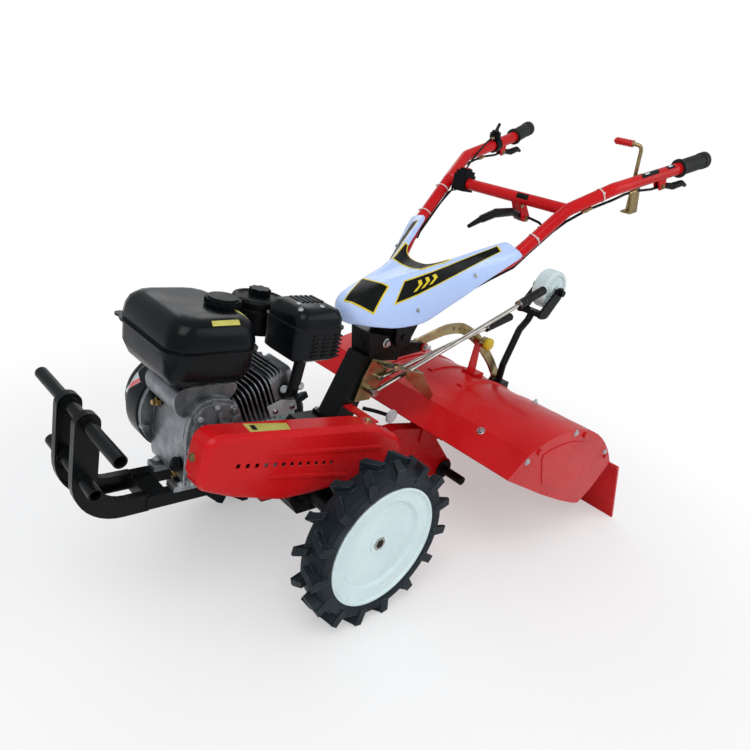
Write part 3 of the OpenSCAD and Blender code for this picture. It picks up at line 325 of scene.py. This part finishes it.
class Piece:
    """Trim of one material on one body, gathered shape by shape in level millimetres."""

    def __init__(self, name, body, material):
        self.name, self.body, self.material = name, body, material
        self.verts, self.faces = [], []

    def rings(self, rings, close=False):
        """Skins rings of points, with a cap at each end unless the rings close on themselves."""
        base, k = len(self.verts), len(rings[0])
        for ring in rings:
            self.verts += [Vector(p) for p in ring]
        count = len(rings)
        for i in range(count if close else count - 1):
            a, b = base + i * k, base + ((i + 1) % count) * k
            for j in range(k):
                q = (j + 1) % k
                self.faces.append((a + j, a + q, b + q, b + j))
        if not close:
            self.faces.append(tuple(reversed(range(base, base + k))))
            self.faces.append(tuple(range(base + (count - 1) * k, base + count * k)))

    def lathe(self, p, n, profile, sides=20, turn=0.0):
        """A turned shape: (radius, height) pairs up the axis n from p."""
        n = Vector(n).normalized()
        a = n.orthogonal().normalized()
        b = n.cross(a)
        p = Vector(p)
        self.rings([[p + n * h + r * (a * math.cos(turn + 2 * math.pi * j / sides)
                                      + b * math.sin(turn + 2 * math.pi * j / sides))
                     for j in range(sides)] for r, h in profile])

    def bolt(self, p, n, r=6.0, h=5.0, washer=True, turn=0.4):
        """A hexagon head on a washer, with a chamfered top."""
        if washer:
            self.lathe(p, n, [(r * 1.45, -0.6), (r * 1.45, 1.0), (r * 1.35, 1.4)], 20)
        self.lathe(p, n, [(r, 0.8), (r, h * 0.8), (r * 0.9, h)], 6, turn)

    def screw(self, p, n, r=5.0, h=2.6):
        """A round pan head with a sunk middle."""
        self.lathe(p, n, [(r, -0.6), (r, h * 0.4), (r * 0.8, h * 0.85), (r * 0.45, h),
                          (r * 0.4, h * 0.4)], 18)

    def tube(self, points, r, sides=10, steps=4):
        """A round bar along a smooth curve through the points."""
        path = curve(points, steps)
        rings, ref = [], None
        for i, p in enumerate(path):
            t = (path[min(i + 1, len(path) - 1)] - path[max(i - 1, 0)]).normalized()
            ref = t.orthogonal().normalized() if ref is None else (ref - ref.dot(t) * t).normalized()
            b = t.cross(ref)
            rings.append([p + r * (ref * math.cos(2 * math.pi * j / sides)
                                   + b * math.sin(2 * math.pi * j / sides)) for j in range(sides)])
        self.rings(rings)

    def band(self, p, axis, r, w=3.0, t=1.3, sides=32):
        """A flat band of width w round a bar of radius r."""
        axis = Vector(axis).normalized()
        a = axis.orthogonal().normalized()
        b = axis.cross(a)
        p = Vector(p)
        rings = []
        for j in range(sides):
            d = a * math.cos(2 * math.pi * j / sides) + b * math.sin(2 * math.pi * j / sides)
            rings.append([p + d * r - axis * w / 2, p + d * r + axis * w / 2,
                          p + d * (r + t) + axis * w / 2, p + d * (r + t) - axis * w / 2])
        self.rings(rings, close=True)

    def plate(self, outline, n, thick):
        """A flat plate: outline points, thickened along n."""
        n = Vector(n).normalized()
        ring = [Vector(p) for p in outline]
        self.rings([ring, [p + n * thick for p in ring]])

    def film(self, node, corners, n, lift=0.25, across=8, down=6, reach=40.0, deep=0.3, back=0.0):
        """A thin film that follows a node's surface between four corners; it stops short of an edge."""
        n = Vector(n).normalized()
        base = len(self.verts)
        spots = []
        for j in range(across + 1):
            u, start = j / across, 0.0
            while start < 0.9 and meet(node, quad(corners, u, start - back, u, 1)[0], n, reach) is None:
                start += 0.01
            for i in range(down + 1):
                v = start + (1 - start) * i / down
                spots.append(land(node, quad(corners, u, v, u, 1)[0], n, reach))
        spots = [spots[j * (down + 1) + i] for i in range(down + 1) for j in range(across + 1)]
        grid = [p + n * side for side in (lift, -deep) for p in spots]
        self.verts += grid
        w, m = across + 1, (across + 1) * (down + 1)
        for i in range(down):
            for j in range(across):
                a = base + i * w + j
                self.faces.append((a, a + w, a + w + 1, a + 1))
                self.faces.append((a + m, a + m + 1, a + m + w + 1, a + m + w))
        rim = ([(0, j) for j in range(across)] + [(i, across) for i in range(down)]
               + [(down, j) for j in range(across, 0, -1)] + [(i, 0) for i in range(down, 0, -1)])
        for k, (i, j) in enumerate(rim):
            i2, j2 = rim[(k + 1) % len(rim)]
            a, b = base + i * w + j, base + i2 * w + j2
            self.faces.append((a, b, b + m, a + m))

    def make(self, angle=35.0):
        mesh = bpy.data.meshes.new(self.name)
        mesh.from_pydata([at(*v) for v in self.verts], [], self.faces)
        o = bpy.data.objects.new(self.name, mesh)
        bpy.context.scene.collection.objects.link(o)
        bm = bmesh.new()
        bm.from_mesh(mesh)
        bmesh.ops.recalc_face_normals(bm, faces=bm.faces)
        bm.to_mesh(mesh)
        bm.free()
        mesh.materials.append(self.material)
        shade(o, angle)
        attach(o, self.body)
        return o


def curve(points, steps):
    """A Catmull-Rom curve through the points."""
    p = [Vector(q) for q in points]
    if len(p) < 3:
        return p
    out = []
    for i in range(len(p) - 1):
        a, b, c, d = p[max(i - 1, 0)], p[i], p[i + 1], p[min(i + 2, len(p) - 1)]
        for k in range(steps):
            t = k / steps
            out.append(0.5 * (2 * b + (c - a) * t + (2 * a - 5 * b + 4 * c - d) * t * t
                              + (3 * b - a - 3 * c + d) * t ** 3))
    return out + [p[-1]]


def quad(c, u0, v0, u1, v1):
    """Part of a four-cornered patch, by shares of its width and height."""
    c = [Vector(p) for p in c]

    def spot(u, v):
        return (c[0] * (1 - u) + c[1] * u) * (1 - v) + (c[3] * (1 - u) + c[2] * u) * v
    return [spot(u0, v0), spot(u1, v0), spot(u1, v1), spot(u0, v1)]


UP, OUT, AHEAD = Vector((0, 0, 1)), Vector((0, 1, 0)), Vector((1, 0, 0))
SIDES = (1, -1)

# lifts of a film over its skin, and of each layer laid on it
RIM_LIFT, PANEL_LIFT, MARK_LIFT, PRINT_LIFT = 0.6, 1.0, 1.4, 0.45
# the chevrons of the side strip, as shares of its length
CHEVRONS, CHEVRON_START, CHEVRON_STEP, CHEVRON_WIDTH, CHEVRON_TIP = 3, 0.17, 0.075, 0.035, 0.035


def blank_labels():
    """Blank labels on the tank, the belt cover and the recoil housing."""
    tank_side = [(359, 71, 466), (300, 70, 466), (301, 80, 459), (360, 80, 459)]
    tank_end = [(282, 22, 470), (268, 22, 470), (262, 52, 466), (276, 52, 466)]
    cover_top = [(303, 136, 276), (203, 144, 265), (212, 172, 265), (308, 171, 276)]
    recoil = [(384, -150, 276), (390, -185, 215), (397, -163, 215), (393, -118, 266)]
    cover_up = (-0.1, 0.2, 0.97)
    recoil_out = (0.9, 0, 0.42)
    yellow = Piece("labels_yellow", "chassis", OLIVE)
    yellow.film("fuel_tank", tank_side, (0, 0.67, 0.74))
    yellow.film("fuel_tank", tank_end, (-0.2, 0.2, 0.96))
    yellow.film("belt_cover", cover_top, cover_up)
    yellow.make()
    dark = Piece("labels_print_blocks", "chassis", FILM)
    dark.film("belt_cover", quad(cover_top, 0.10, 0.2, 0.22, 0.8), cover_up, PRINT_LIFT, 3, 3)
    dark.make()
    pale = Piece("label_recoil_pale", "chassis", PALE)
    pale.film("recoil_housing", recoil, recoil_out)
    pale.make()
    pink = Piece("label_recoil_stripe", "chassis", PINK)
    pink.film("recoil_housing", quad(recoil, 0.0, 0.62, 0.6, 0.98), recoil_out, PRINT_LIFT)
    pink.make()


def cover_decals():
    """Blank black panels with yellow rims on the moulded cover, and chevrons on its side strips."""
    side = [(-156, 50, 539), (-362, 137, 652), (-362, 152, 640), (-124, 64, 482)]
    nose = [(-97, -32, 520), (-117, 42, 522), (-74, 55, 456), (-15, 7, 475)]
    middle = [(-270, -84, 601), (-270, 84, 601), (-200, 50, 567), (-200, -50, 567)]
    rims = Piece("decal_rims", "handlebar", YELLOW)
    panels = Piece("decal_panels", "handlebar", FILM)
    marks = Piece("decal_chevrons", "handlebar", YELLOW)
    for s in SIDES:
        strip = [(x, s * y, z) for x, y, z in side]
        n = (0.40, s * 0.62, 0.68)
        rims.film("dash_cover", strip, n, RIM_LIFT, 48, 12)
        panels.film("dash_cover", quad(strip, 0.015, 0.07, 0.985, 0.93), n, PANEL_LIFT, 48, 12)
        for i in range(CHEVRONS):
            a = CHEVRON_START + CHEVRON_STEP * i
            b = a + CHEVRON_WIDTH
            upper = quad(strip, a, 0.25, b, 0.25)[:2]
            tip = quad(strip, a + CHEVRON_TIP, 0.5, b + CHEVRON_TIP, 0.5)[:2]
            lower = quad(strip, a, 0.75, b, 0.75)[:2]
            marks.film("dash_cover", [*upper, tip[1], tip[0]], n, MARK_LIFT, 2, 3)
            marks.film("dash_cover", [*tip, lower[1], lower[0]], n, MARK_LIFT, 2, 3)
    for c, n in ((nose, (0.75, 0.35, 0.55)), (middle, (0.43, 0.0, 0.90))):
        rims.film("dash_cover", c, n, RIM_LIFT, 24, 16)
        inner = quad(c, 0.04, 0.05, 0.96, 0.95)
        panels.film("dash_cover", inner, n, PANEL_LIFT, 24, 16, back=0.05)
    rims.make()
    panels.make()
    marks.make()


def cover_clips():
    """Clips that hold the moulded cover."""
    clips = Piece("cover_clips", "handlebar", STEEL)
    for s in SIDES:
        n = Vector((0.3, s * 0.9, 0.3)).normalized()
        for x, y, z in ((-303, 140, 577), (-192, 81, 473)):
            clips.screw(land("dash_cover", (x, s * y, z), n), n, 5.5, 3.0)
    clips.make()


def engine_bolts():
    """Bolts of the crankcase's side, the muffler's guard and flange, and the engine's feet."""
    bolts = Piece("bolts_engine", "chassis", DULL)
    for x, z in ((240, 118), (300, 114), (357, 118), (361, 190), (356, 262), (322, 284)):
        bolts.bolt(land("engine_crankcase", (x, 66, z), OUT), OUT, 5.6, 4.5, washer=False)
    for p, n in (((174, 94, 489), (0.3, 0.08, 0.95)), ((162, 70, 490), (0.05, 0.0, 1.0)),
                 ((119, 92, 490), (0.0, 0.1, 1.0))):
        bolts.screw(land("muffler", p, n), n, 5.5, 3.4)
    for p, n in (((152, 58, 296), (0.5, 0.8, 0.2)), ((122, 58, 306), (0.3, 0.9, 0.2))):
        bolts.bolt(land("muffler", p, n), n, 6.5, 7.0)
    for y in (-56, 56):
        for x in (250, 372):
            bolts.bolt((x, y, 110), UP, 6.0, 5.0)
    bolts.make()


def oil_plugs():
    """Brass plugs ahead of the crankcase, and the black oil filler."""
    brass = Piece("drain_plug", "chassis", BRASS)
    brass.lathe((379, -60, 245), AHEAD, [(9, -3), (9, 6), (6.5, 6.5), (6.5, 14), (5, 15)], 6)
    brass.lathe((372, 25, 118), AHEAD, [(8, -2), (8, 5), (6, 6)], 6)
    brass.make()
    cap = Piece("oil_filler", "chassis", PLASTIC)
    cap.lathe((372, 42, 150), (1, 0.15, 0.35), [(13, -3), (13, 6), (15, 7), (15, 15), (12, 17)], 12)
    cap.make()


def belt_cover_bolts():
    """Yellow zinc bolts at the two ends of the belt cover."""
    bolts = Piece("bolts_belt_cover", "chassis", ZINC)
    for p, n, r in (((-30, 150, 236), (-0.22, 0.0, 0.97), 7.0), ((410, 146, 230), (1, 0, 0.1), 6.5)):
        bolts.bolt(land("belt_cover", p, n), n, r, 6.0)
    bolts.make()


def hood_bolts():
    """Bolts of the hood's seams, with the stud's end standing out, of its ends and of its flap."""
    hood = Piece("bolts_hood", "chassis", STEEL)
    for s in SIDES:
        for x, y, z, n in ((-635, 213, 223, (-0.25, 0, 0.97)), (-355, 242, 196, (0.63, 0, 0.77))):
            p = land("hood_shell", (x, s * y, z), n)
            hood.bolt(p, n, 7.5, 6.0)
            hood.lathe(p, n, [(3.4, 5.0), (3.4, 12.0), (2.8, 13.0)], 12)
        end = "hood_end_left" if s > 0 else "hood_end_right"
        for x, z in ((-567, 226), (-790, 124), (-359, 184)):
            hood.bolt(land(end, (x, s * 389, z), (0, s, 0)), (0, s, 0), 6.5, 5.0)
    hood.make()
    flap = Piece("bolts_flap", "flap", STEEL)
    n = (-0.9, 0, 0.43)
    for s in SIDES:
        for x, z in ((-918, 22), (-960, -62)):
            flap.bolt(land("rear_flap", (x, s * 385, z), n), n, 5.5, 4.5)
    flap.make()


def link_trim():
    """Red washers and bolts on the ends of the depth link, and its yellow knob."""
    washers = Piece("washers_red", "chassis", RED)
    washers.lathe((-334, 10.4, 339), OUT, [(13, 0), (13, 4), (11, 5)], 24)
    washers.lathe((-769, -10.6, 186), OUT, [(14, 3.6), (14, 8), (12, 9)], 24)
    washers.make()
    bolts = Piece("bolts_link", "chassis", STEEL)
    for p in ((-334, 15.4, 339), (-769, -1.6, 186)):
        bolts.bolt(p, OUT, 7.0, 5.5)
    bolts.make()
    knob = Piece("knob_yellow", "chassis", YELLOW)
    knob.lathe((-600, 22.2, 336), OUT, [(16, 0), (19, 3), (19, 13), (15, 16), (6, 16.5)], 10)
    knob.make()


def axle_end_shade_discs():
    """Dark discs on the ends of the half axles: painted shade in place of the bores, which the solid
    axles lack.
    """
    for s, name in ((1, "left"), (-1, "right")):
        shade_disc = Piece("bore_shade_" + name, "wheel_" + name, FILM)
        # a flat black hexagon that paints the shade of a bore
        shade_disc.lathe((0, s * 294.6, 0), (0, s, 0), [(11.5, 0), (11.5, 0.7)], 6)
        shade_disc.make()


def column_bolts():
    """Bolts of the column and of its foot."""
    column = Piece("bolts_column", "chassis", STEEL)
    for s in SIDES:
        column.bolt(land("handle_column", (-160, s * 40, 372), (0, s, 0)), (0, s, 0), 8.5, 7.0)
        for x in (-90, -38):
            column.bolt((x, s * 37, 178), UP, 5.5, 4.5)
    column.make()


# bends of the left bar, and its radius with a film of play
BAR = [(-295, 112, 545), (-387, 166, 622), (-521, 199, 763), (-627, 245, 833), (-863, 275, 913)]
BAR_OVER = 16.4


def on_bar(i, t, s, side=0.0, lift=0.0):
    """A point by the i-th straight of the left (s = 1) or right bar, moved outwards and up."""
    a, b = Vector(BAR[i]), Vector(BAR[i + 1])
    v = (b - a).normalized()
    up = (UP - v.z * v).normalized()
    out = up.cross(v)
    if out.y < 0:
        out = -out
    p = a + (b - a) * t + out * side + up * lift
    return Vector((p.x, s * p.y, p.z))


def along(i, s):
    """The direction of the i-th straight of the left (s = 1) or right bar."""
    v = (Vector(BAR[i + 1]) - Vector(BAR[i])).normalized()
    return Vector((v.x, s * v.y, v.z))


def bar_ties():
    """Nylon ties round the bars and their cables, each with its square lock."""
    ties = Piece("ties", "handlebar", TIE)
    for i, t, s in ((2, 0.72, 1), (1, 0.42, 1), (1, 0.80, -1), (1, 0.30, -1)):
        v = along(i, s)
        ties.band(on_bar(i, t, s), v, BAR_OVER, 3.4, 1.2)
        lock = [on_bar(i, t, s, 15.0, lift) + v * w
                for lift, w in ((5, -2.6), (5, 2.6), (10, 2.6), (10, -2.6))]
        ties.plate(lock, on_bar(i, t, s, 1.0) - on_bar(i, t, s), 4.0)
    ties.make()


def bar_wires():
    """Throttle cable and stop switch's wire down the right bar, and the cables' end fittings."""
    # straight of the bar, share of its length, outwards, up
    throttle = ((3, 0.50, -7.0, 26.0), (3, 0.34, -14.0, 24.0), (3, 0.10, -21.0, 4.0),
                (2, 0.90, -24.0, 0.0), (2, 0.40, -24.0, -4.0), (1, 0.92, -24.0, -8.0),
                (1, 0.60, -20.5, -4.0), (1, 0.30, -20.5, -2.0), (1, 0.06, -19.5, 0.0),
                (0, 0.75, -18.8, -2.0))
    switch = ((1, 0.80, -8.0, -21.0), (1, 0.50, -12.0, -17.0), (1, 0.20, -12.0, -17.0),
              (0, 0.80, -10.0, -17.0))
    wires = Piece("throttle_cable", "handlebar", PLASTIC)
    wires.tube([on_bar(i, t, -1, *off) for i, t, *off in throttle], 2.6, 8, 4)
    wires.tube([(-521, -160, 741), (-505, -172, 733),
                *(on_bar(i, t, -1, *off) for i, t, *off in switch)], 1.8, 8, 4)
    wires.make()
    fittings = Piece("cable_adjusters", "handlebar", ZINC)
    for s in SIDES:
        for p, v in ((Vector((-573.8, s * 221.9, 772.4)), along(2, s)),
                     (on_bar(3, 0.33, s, 0.0, -23.6), along(3, s))):
            fittings.lathe(p - v * 16, v, [(3.7, 0), (4.6, 1), (4.6, 10), (5.6, 10.2), (5.6, 18),
                                           (4.6, 18.2), (4.6, 28), (3.7, 30)], 12)
    fittings.lathe(on_bar(3, 0.50, -1, -7.0, 26.0), along(3, -1),
                   [(3, -6), (4.4, -5), (4.4, 6), (3, 7)], 10)
    fittings.make()


def bar_stickers():
    """Blank stickers on the left bar and the cross tube, two of them with a pale patch."""
    bend_up, end_up, tube_front = (0.29, 0.30, 0.91), (0.31, 0.30, 0.90), (0.93, 0, 0.37)
    bend = [(-723, 256, 882), (-790, 263, 905), (-780, 277, 896), (-713, 269, 873)]
    end = [(-820, 266, 915), (-850, 270, 925), (-846, 284, 918), (-816, 280, 908)]
    tube = [(-511, 49, 776), (-511, 86, 776), (-506, 88, 762), (-506, 51, 762)]
    bend_patch = [(-735, 260, 885), (-752, 262, 891), (-748, 267, 888), (-731, 265, 882)]
    end_patch = [(-828, 270, 916), (-842, 272, 921), (-840, 278, 918), (-826, 276, 913)]
    stickers = Piece("stickers_bar", "handlebar", FILM)
    for c, n in ((bend, bend_up), (end, end_up), (tube, tube_front)):
        stickers.film("handlebar_frame", c, n, 0.3, 6, 6)
    stickers.make()
    patches = Piece("stickers_edge", "handlebar", PALE)
    for c, n in ((bend_patch, bend_up), (end_patch, end_up)):
        patches.film("handlebar_frame", c, n, 0.5, 3, 3)
    patches.make()


def switch_rocker():
    """Red rocker of the stop switch."""
    rocker = Piece("switch_rocker", "handlebar", RED)
    rocker.plate([(-532, -153, 802), (-510, -153, 802), (-510, -137, 802), (-532, -137, 802)],
                 (0.12, 0, 1), 2.2)
    rocker.make()


def lever_bolts():
    """Bolts of the hand levers in the ears on the bars, and of the clutch lever's ear."""
    ear_t, ear_lift, ear_half = 196.0 / 251.1, -32.0, 9.2
    bolts = Piece("bolts_levers", "handlebar", ZINC)
    for s in SIDES:
        p = on_bar(3, ear_t, s, 0.0, ear_lift)
        out = (on_bar(3, 0.5, s, 1.0) - on_bar(3, 0.5, s)).normalized()
        bolts.bolt(p + out * ear_half, out, 5.0, 4.5)
        bolts.bolt(p - out * ear_half, -out, 5.0, 4.5)
    bolts.bolt((-560, 64.2, 712), OUT, 5.5, 4.5)
    bolts.bolt((-524, 64.2, 745), OUT, 4.5, 4.0)
    bolts.make()


def cylinder_plate():
    """Zinc plate bolted beside the cylinder."""
    plate = Piece("cylinder_plate", "chassis", DULL)
    plate.plate([(186, 50, 256), (150, 50, 268), (112, 50, 262), (102, 50, 240), (134, 50, 228),
                 (172, 50, 230)], OUT, 2.0)
    plate.make()
    bolts = Piece("cylinder_plate_bolts", "chassis", STEEL)
    for x, z in ((162, 242), (118, 248)):
        bolts.bolt((x, 52, z), OUT, 5.0, 4.5)
    bolts.make()


def round_tab():
    """Round tab on a bent bar behind the belt cover."""
    tab = Piece("round_tab", "chassis", DULL)
    tab.lathe((-160, 100, 203), OUT, [(16.5, 0), (18, 1.5), (18, 5), (16.5, 6.5)], 32)
    tab.make()
    bar = Piece("round_tab_bar", "chassis", BLACK)
    bar.tube([(-130, 30, 196), (-150, 60, 198), (-160, 101, 203)], 5.0, 10, 5)
    bar.make()


for trim in (blank_labels, cover_decals, cover_clips, engine_bolts, oil_plugs, belt_cover_bolts,
             hood_bolts, link_trim, axle_end_shade_discs, column_bolts, bar_ties, bar_wires, bar_stickers,
             switch_rocker, lever_bolts, cylinder_plate, round_tab):
    trim()


def by_place(name, axis, limit, low, high):
    """One material of two finishes, each (dark, light, roughness, metallic), parted across an axis."""
    m, nt, b = tree(name)
    co = nt.nodes.new("ShaderNodeTexCoord")
    xyz = nt.nodes.new("ShaderNodeSeparateXYZ")
    nt.links.new(co.outputs["Object"], xyz.inputs[0])
    share = maths(nt, "LESS_THAN", xyz.outputs[axis], limit, clamp=False)
    grain = noise(nt, 24.0)
    worn_edge, rounded = edges(nt, 0.0006)
    sides = [ramp(nt, grain, [(0.35, dark), (0.65, light)]) for dark, light, _, _ in (high, low)]
    base = mixed(nt, share, *sides)
    light = tuple(min(1.0, c * 1.4 + 0.05) for c in high[1])
    nt.links.new(mixed(nt, maths(nt, "MULTIPLY", worn_edge, 0.3), base, light),
                 b.inputs["Base Color"])
    dull = noise(nt, 40.0)
    gloss = [ramp(nt, dull, [(0.35, (r * 0.8,) * 3), (0.65, (r * 1.2,) * 3)])
             for _, _, r, _ in (high, low)]
    nt.links.new(mixed(nt, share, *gloss), b.inputs["Roughness"])
    nt.links.new(mixed(nt, share, (high[3],) * 3, (low[3],) * 3), b.inputs["Metallic"])
    b.inputs["Specular IOR Level"].default_value = 0.3
    grained(nt, b, 600.0, 0.15, 0.0002, rounded)
    return m


# red sleeve on the crank and black rubber grips on the shift levers, each part of its own node
zinc = ((0.24, 0.18, 0.08), (0.40, 0.31, 0.15), 0.34, 1.0)
sleeve = ((0.50, 0.010, 0.012), (0.58, 0.016, 0.018), 0.32, 0.0)
rod = ((0.34, 0.33, 0.30), (0.52, 0.50, 0.45), 0.24, 1.0)
rubber = ((0.005, 0.0055, 0.006), (0.011, 0.012, 0.012), 0.5, 0.0)
NODES["crank_handle"].data.materials[0] = by_place("crank_zinc_and_sleeve", "Y", 0.2068, sleeve, zinc)
NODES["shift_lever_long"].data.materials[0] = by_place(
    "lever_long_and_grip", "X", at(-640, 66, 468).x, rubber, rod)
NODES["shift_lever_short"].data.materials[0] = by_place(
    "lever_short_and_grip", "X", at(-540, 46, 396).x, rubber, rod)

# ---------------------------------------------------------------- camera, floor, light

SENSOR_MM = 36.0
LENS_MM = 31.5168
LEVEL_CAM = (982.7, 1083.9, 851.8)
LOOK = Vector((-0.68694, -0.64023, -0.34383))
RIGHT = Vector((-0.71997, 0.66389, 0.20221))


def place_camera():
    data = bpy.data.cameras.new("camera")
    data.sensor_width = SENSOR_MM
    data.lens = LENS_MM
    o = bpy.data.objects.new("camera", data)
    bpy.context.scene.collection.objects.link(o)
    look = (TURN @ LOOK).normalized()
    right = (TURN @ RIGHT).normalized()
    up = right.cross(look).normalized()
    turn = Matrix((right, up, -look)).transposed()
    o.matrix_world = Matrix.Translation(at(*LEVEL_CAM)) @ turn.to_4x4()
    bpy.context.scene.camera = o


def floor_pale(name, near, far, plain):
    """Pale matt floor, a share of it plain white near the machine and all of it beyond."""
    m, nt, b = tree(name)
    b.inputs["Base Color"].default_value = (0.93, 0.93, 0.93, 1.0)
    b.inputs["Roughness"].default_value = 0.9
    b.inputs["Specular IOR Level"].default_value = 0.1
    out = [n for n in nt.nodes if n.type == "OUTPUT_MATERIAL"][0]
    co = nt.nodes.new("ShaderNodeNewGeometry")
    length = nt.nodes.new("ShaderNodeVectorMath")
    length.operation = "LENGTH"
    nt.links.new(co.outputs["Position"], length.inputs[0])
    span = nt.nodes.new("ShaderNodeMapRange")
    span.interpolation_type = "SMOOTHSTEP"
    span.inputs["From Min"].default_value = near
    span.inputs["From Max"].default_value = far
    nt.links.new(length.outputs["Value"], span.inputs["Value"])
    path = nt.nodes.new("ShaderNodeLightPath")
    share = maths(nt, "ADD", maths(nt, "MULTIPLY", span.outputs["Result"], 1.0 - plain), plain)
    seen = maths(nt, "MULTIPLY", share, path.outputs["Is Camera Ray"])
    white = nt.nodes.new("ShaderNodeEmission")
    white.inputs["Color"].default_value = (1.0, 1.0, 1.0, 1.0)
    mix = nt.nodes.new("ShaderNodeMixShader")
    nt.links.new(seen, mix.inputs[0])
    nt.links.new(b.outputs[0], mix.inputs[1])
    nt.links.new(white.outputs[0], mix.inputs[2])
    nt.links.new(mix.outputs[0], out.inputs[0])
    return m


def lay_floor(half):
    """A square floor at height zero, which stays out of the model."""
    mesh = bpy.data.meshes.new("floor")
    corners = ((-half, -half, 0), (half, -half, 0), (half, half, 0), (-half, half, 0))
    mesh.from_pydata(corners, [], [(0, 1, 2, 3)])
    o = bpy.data.objects.new("floor", mesh)
    o.data.materials.append(floor_pale("floor_pale", 0.9, 1.6, 0.4))
    bpy.context.scene.collection.objects.link(o)


def light_world(strength):
    """Soft light from all round, over a plain white background for the camera and through glass."""
    world = bpy.data.worlds.new("studio")
    bpy.context.scene.world = world
    world.use_nodes = True
    nt = world.node_tree
    nt.nodes.clear()
    out = nt.nodes.new("ShaderNodeOutputWorld")
    mix = nt.nodes.new("ShaderNodeMixShader")
    soft = nt.nodes.new("ShaderNodeBackground")
    white = nt.nodes.new("ShaderNodeBackground")
    path = nt.nodes.new("ShaderNodeLightPath")
    soft.inputs["Color"].default_value = (0.95, 0.97, 1.0, 1.0)
    soft.inputs["Strength"].default_value = strength
    white.inputs["Color"].default_value = (1.0, 1.0, 1.0, 1.0)
    white.inputs["Strength"].default_value = 1.0
    seen = maths(nt, "ADD", path.outputs["Is Camera Ray"], path.outputs["Is Transmission Ray"])
    nt.links.new(seen, mix.inputs[0])
    nt.links.new(soft.outputs[0], mix.inputs[1])
    nt.links.new(white.outputs[0], mix.inputs[2])
    nt.links.new(mix.outputs[0], out.inputs[0])


def area_light(name, loc, target, size, power):
    d = bpy.data.lights.new(name, "AREA")
    d.shape = "SQUARE"
    d.size = size
    d.energy = power
    o = bpy.data.objects.new(name, d)
    o.location = loc
    o.rotation_euler = (Vector(target) - Vector(loc)).to_track_quat("-Z", "Y").to_euler()
    bpy.context.scene.collection.objects.link(o)


place_camera()
lay_floor(12.0)
light_world(0.60)
area_light("key", (2.2, 1.6, 3.6), (0.0, 0.0, 0.4), 2.6, 78.0)
area_light("fill", (-2.4, 3.0, 2.4), (0.0, 0.0, 0.5), 2.4, 30.0)
area_light("back", (-1.5, -3.2, 2.8), (0.0, 0.0, 0.5), 2.0, 18.0)
bpy.context.scene.view_settings.view_transform = "Standard"
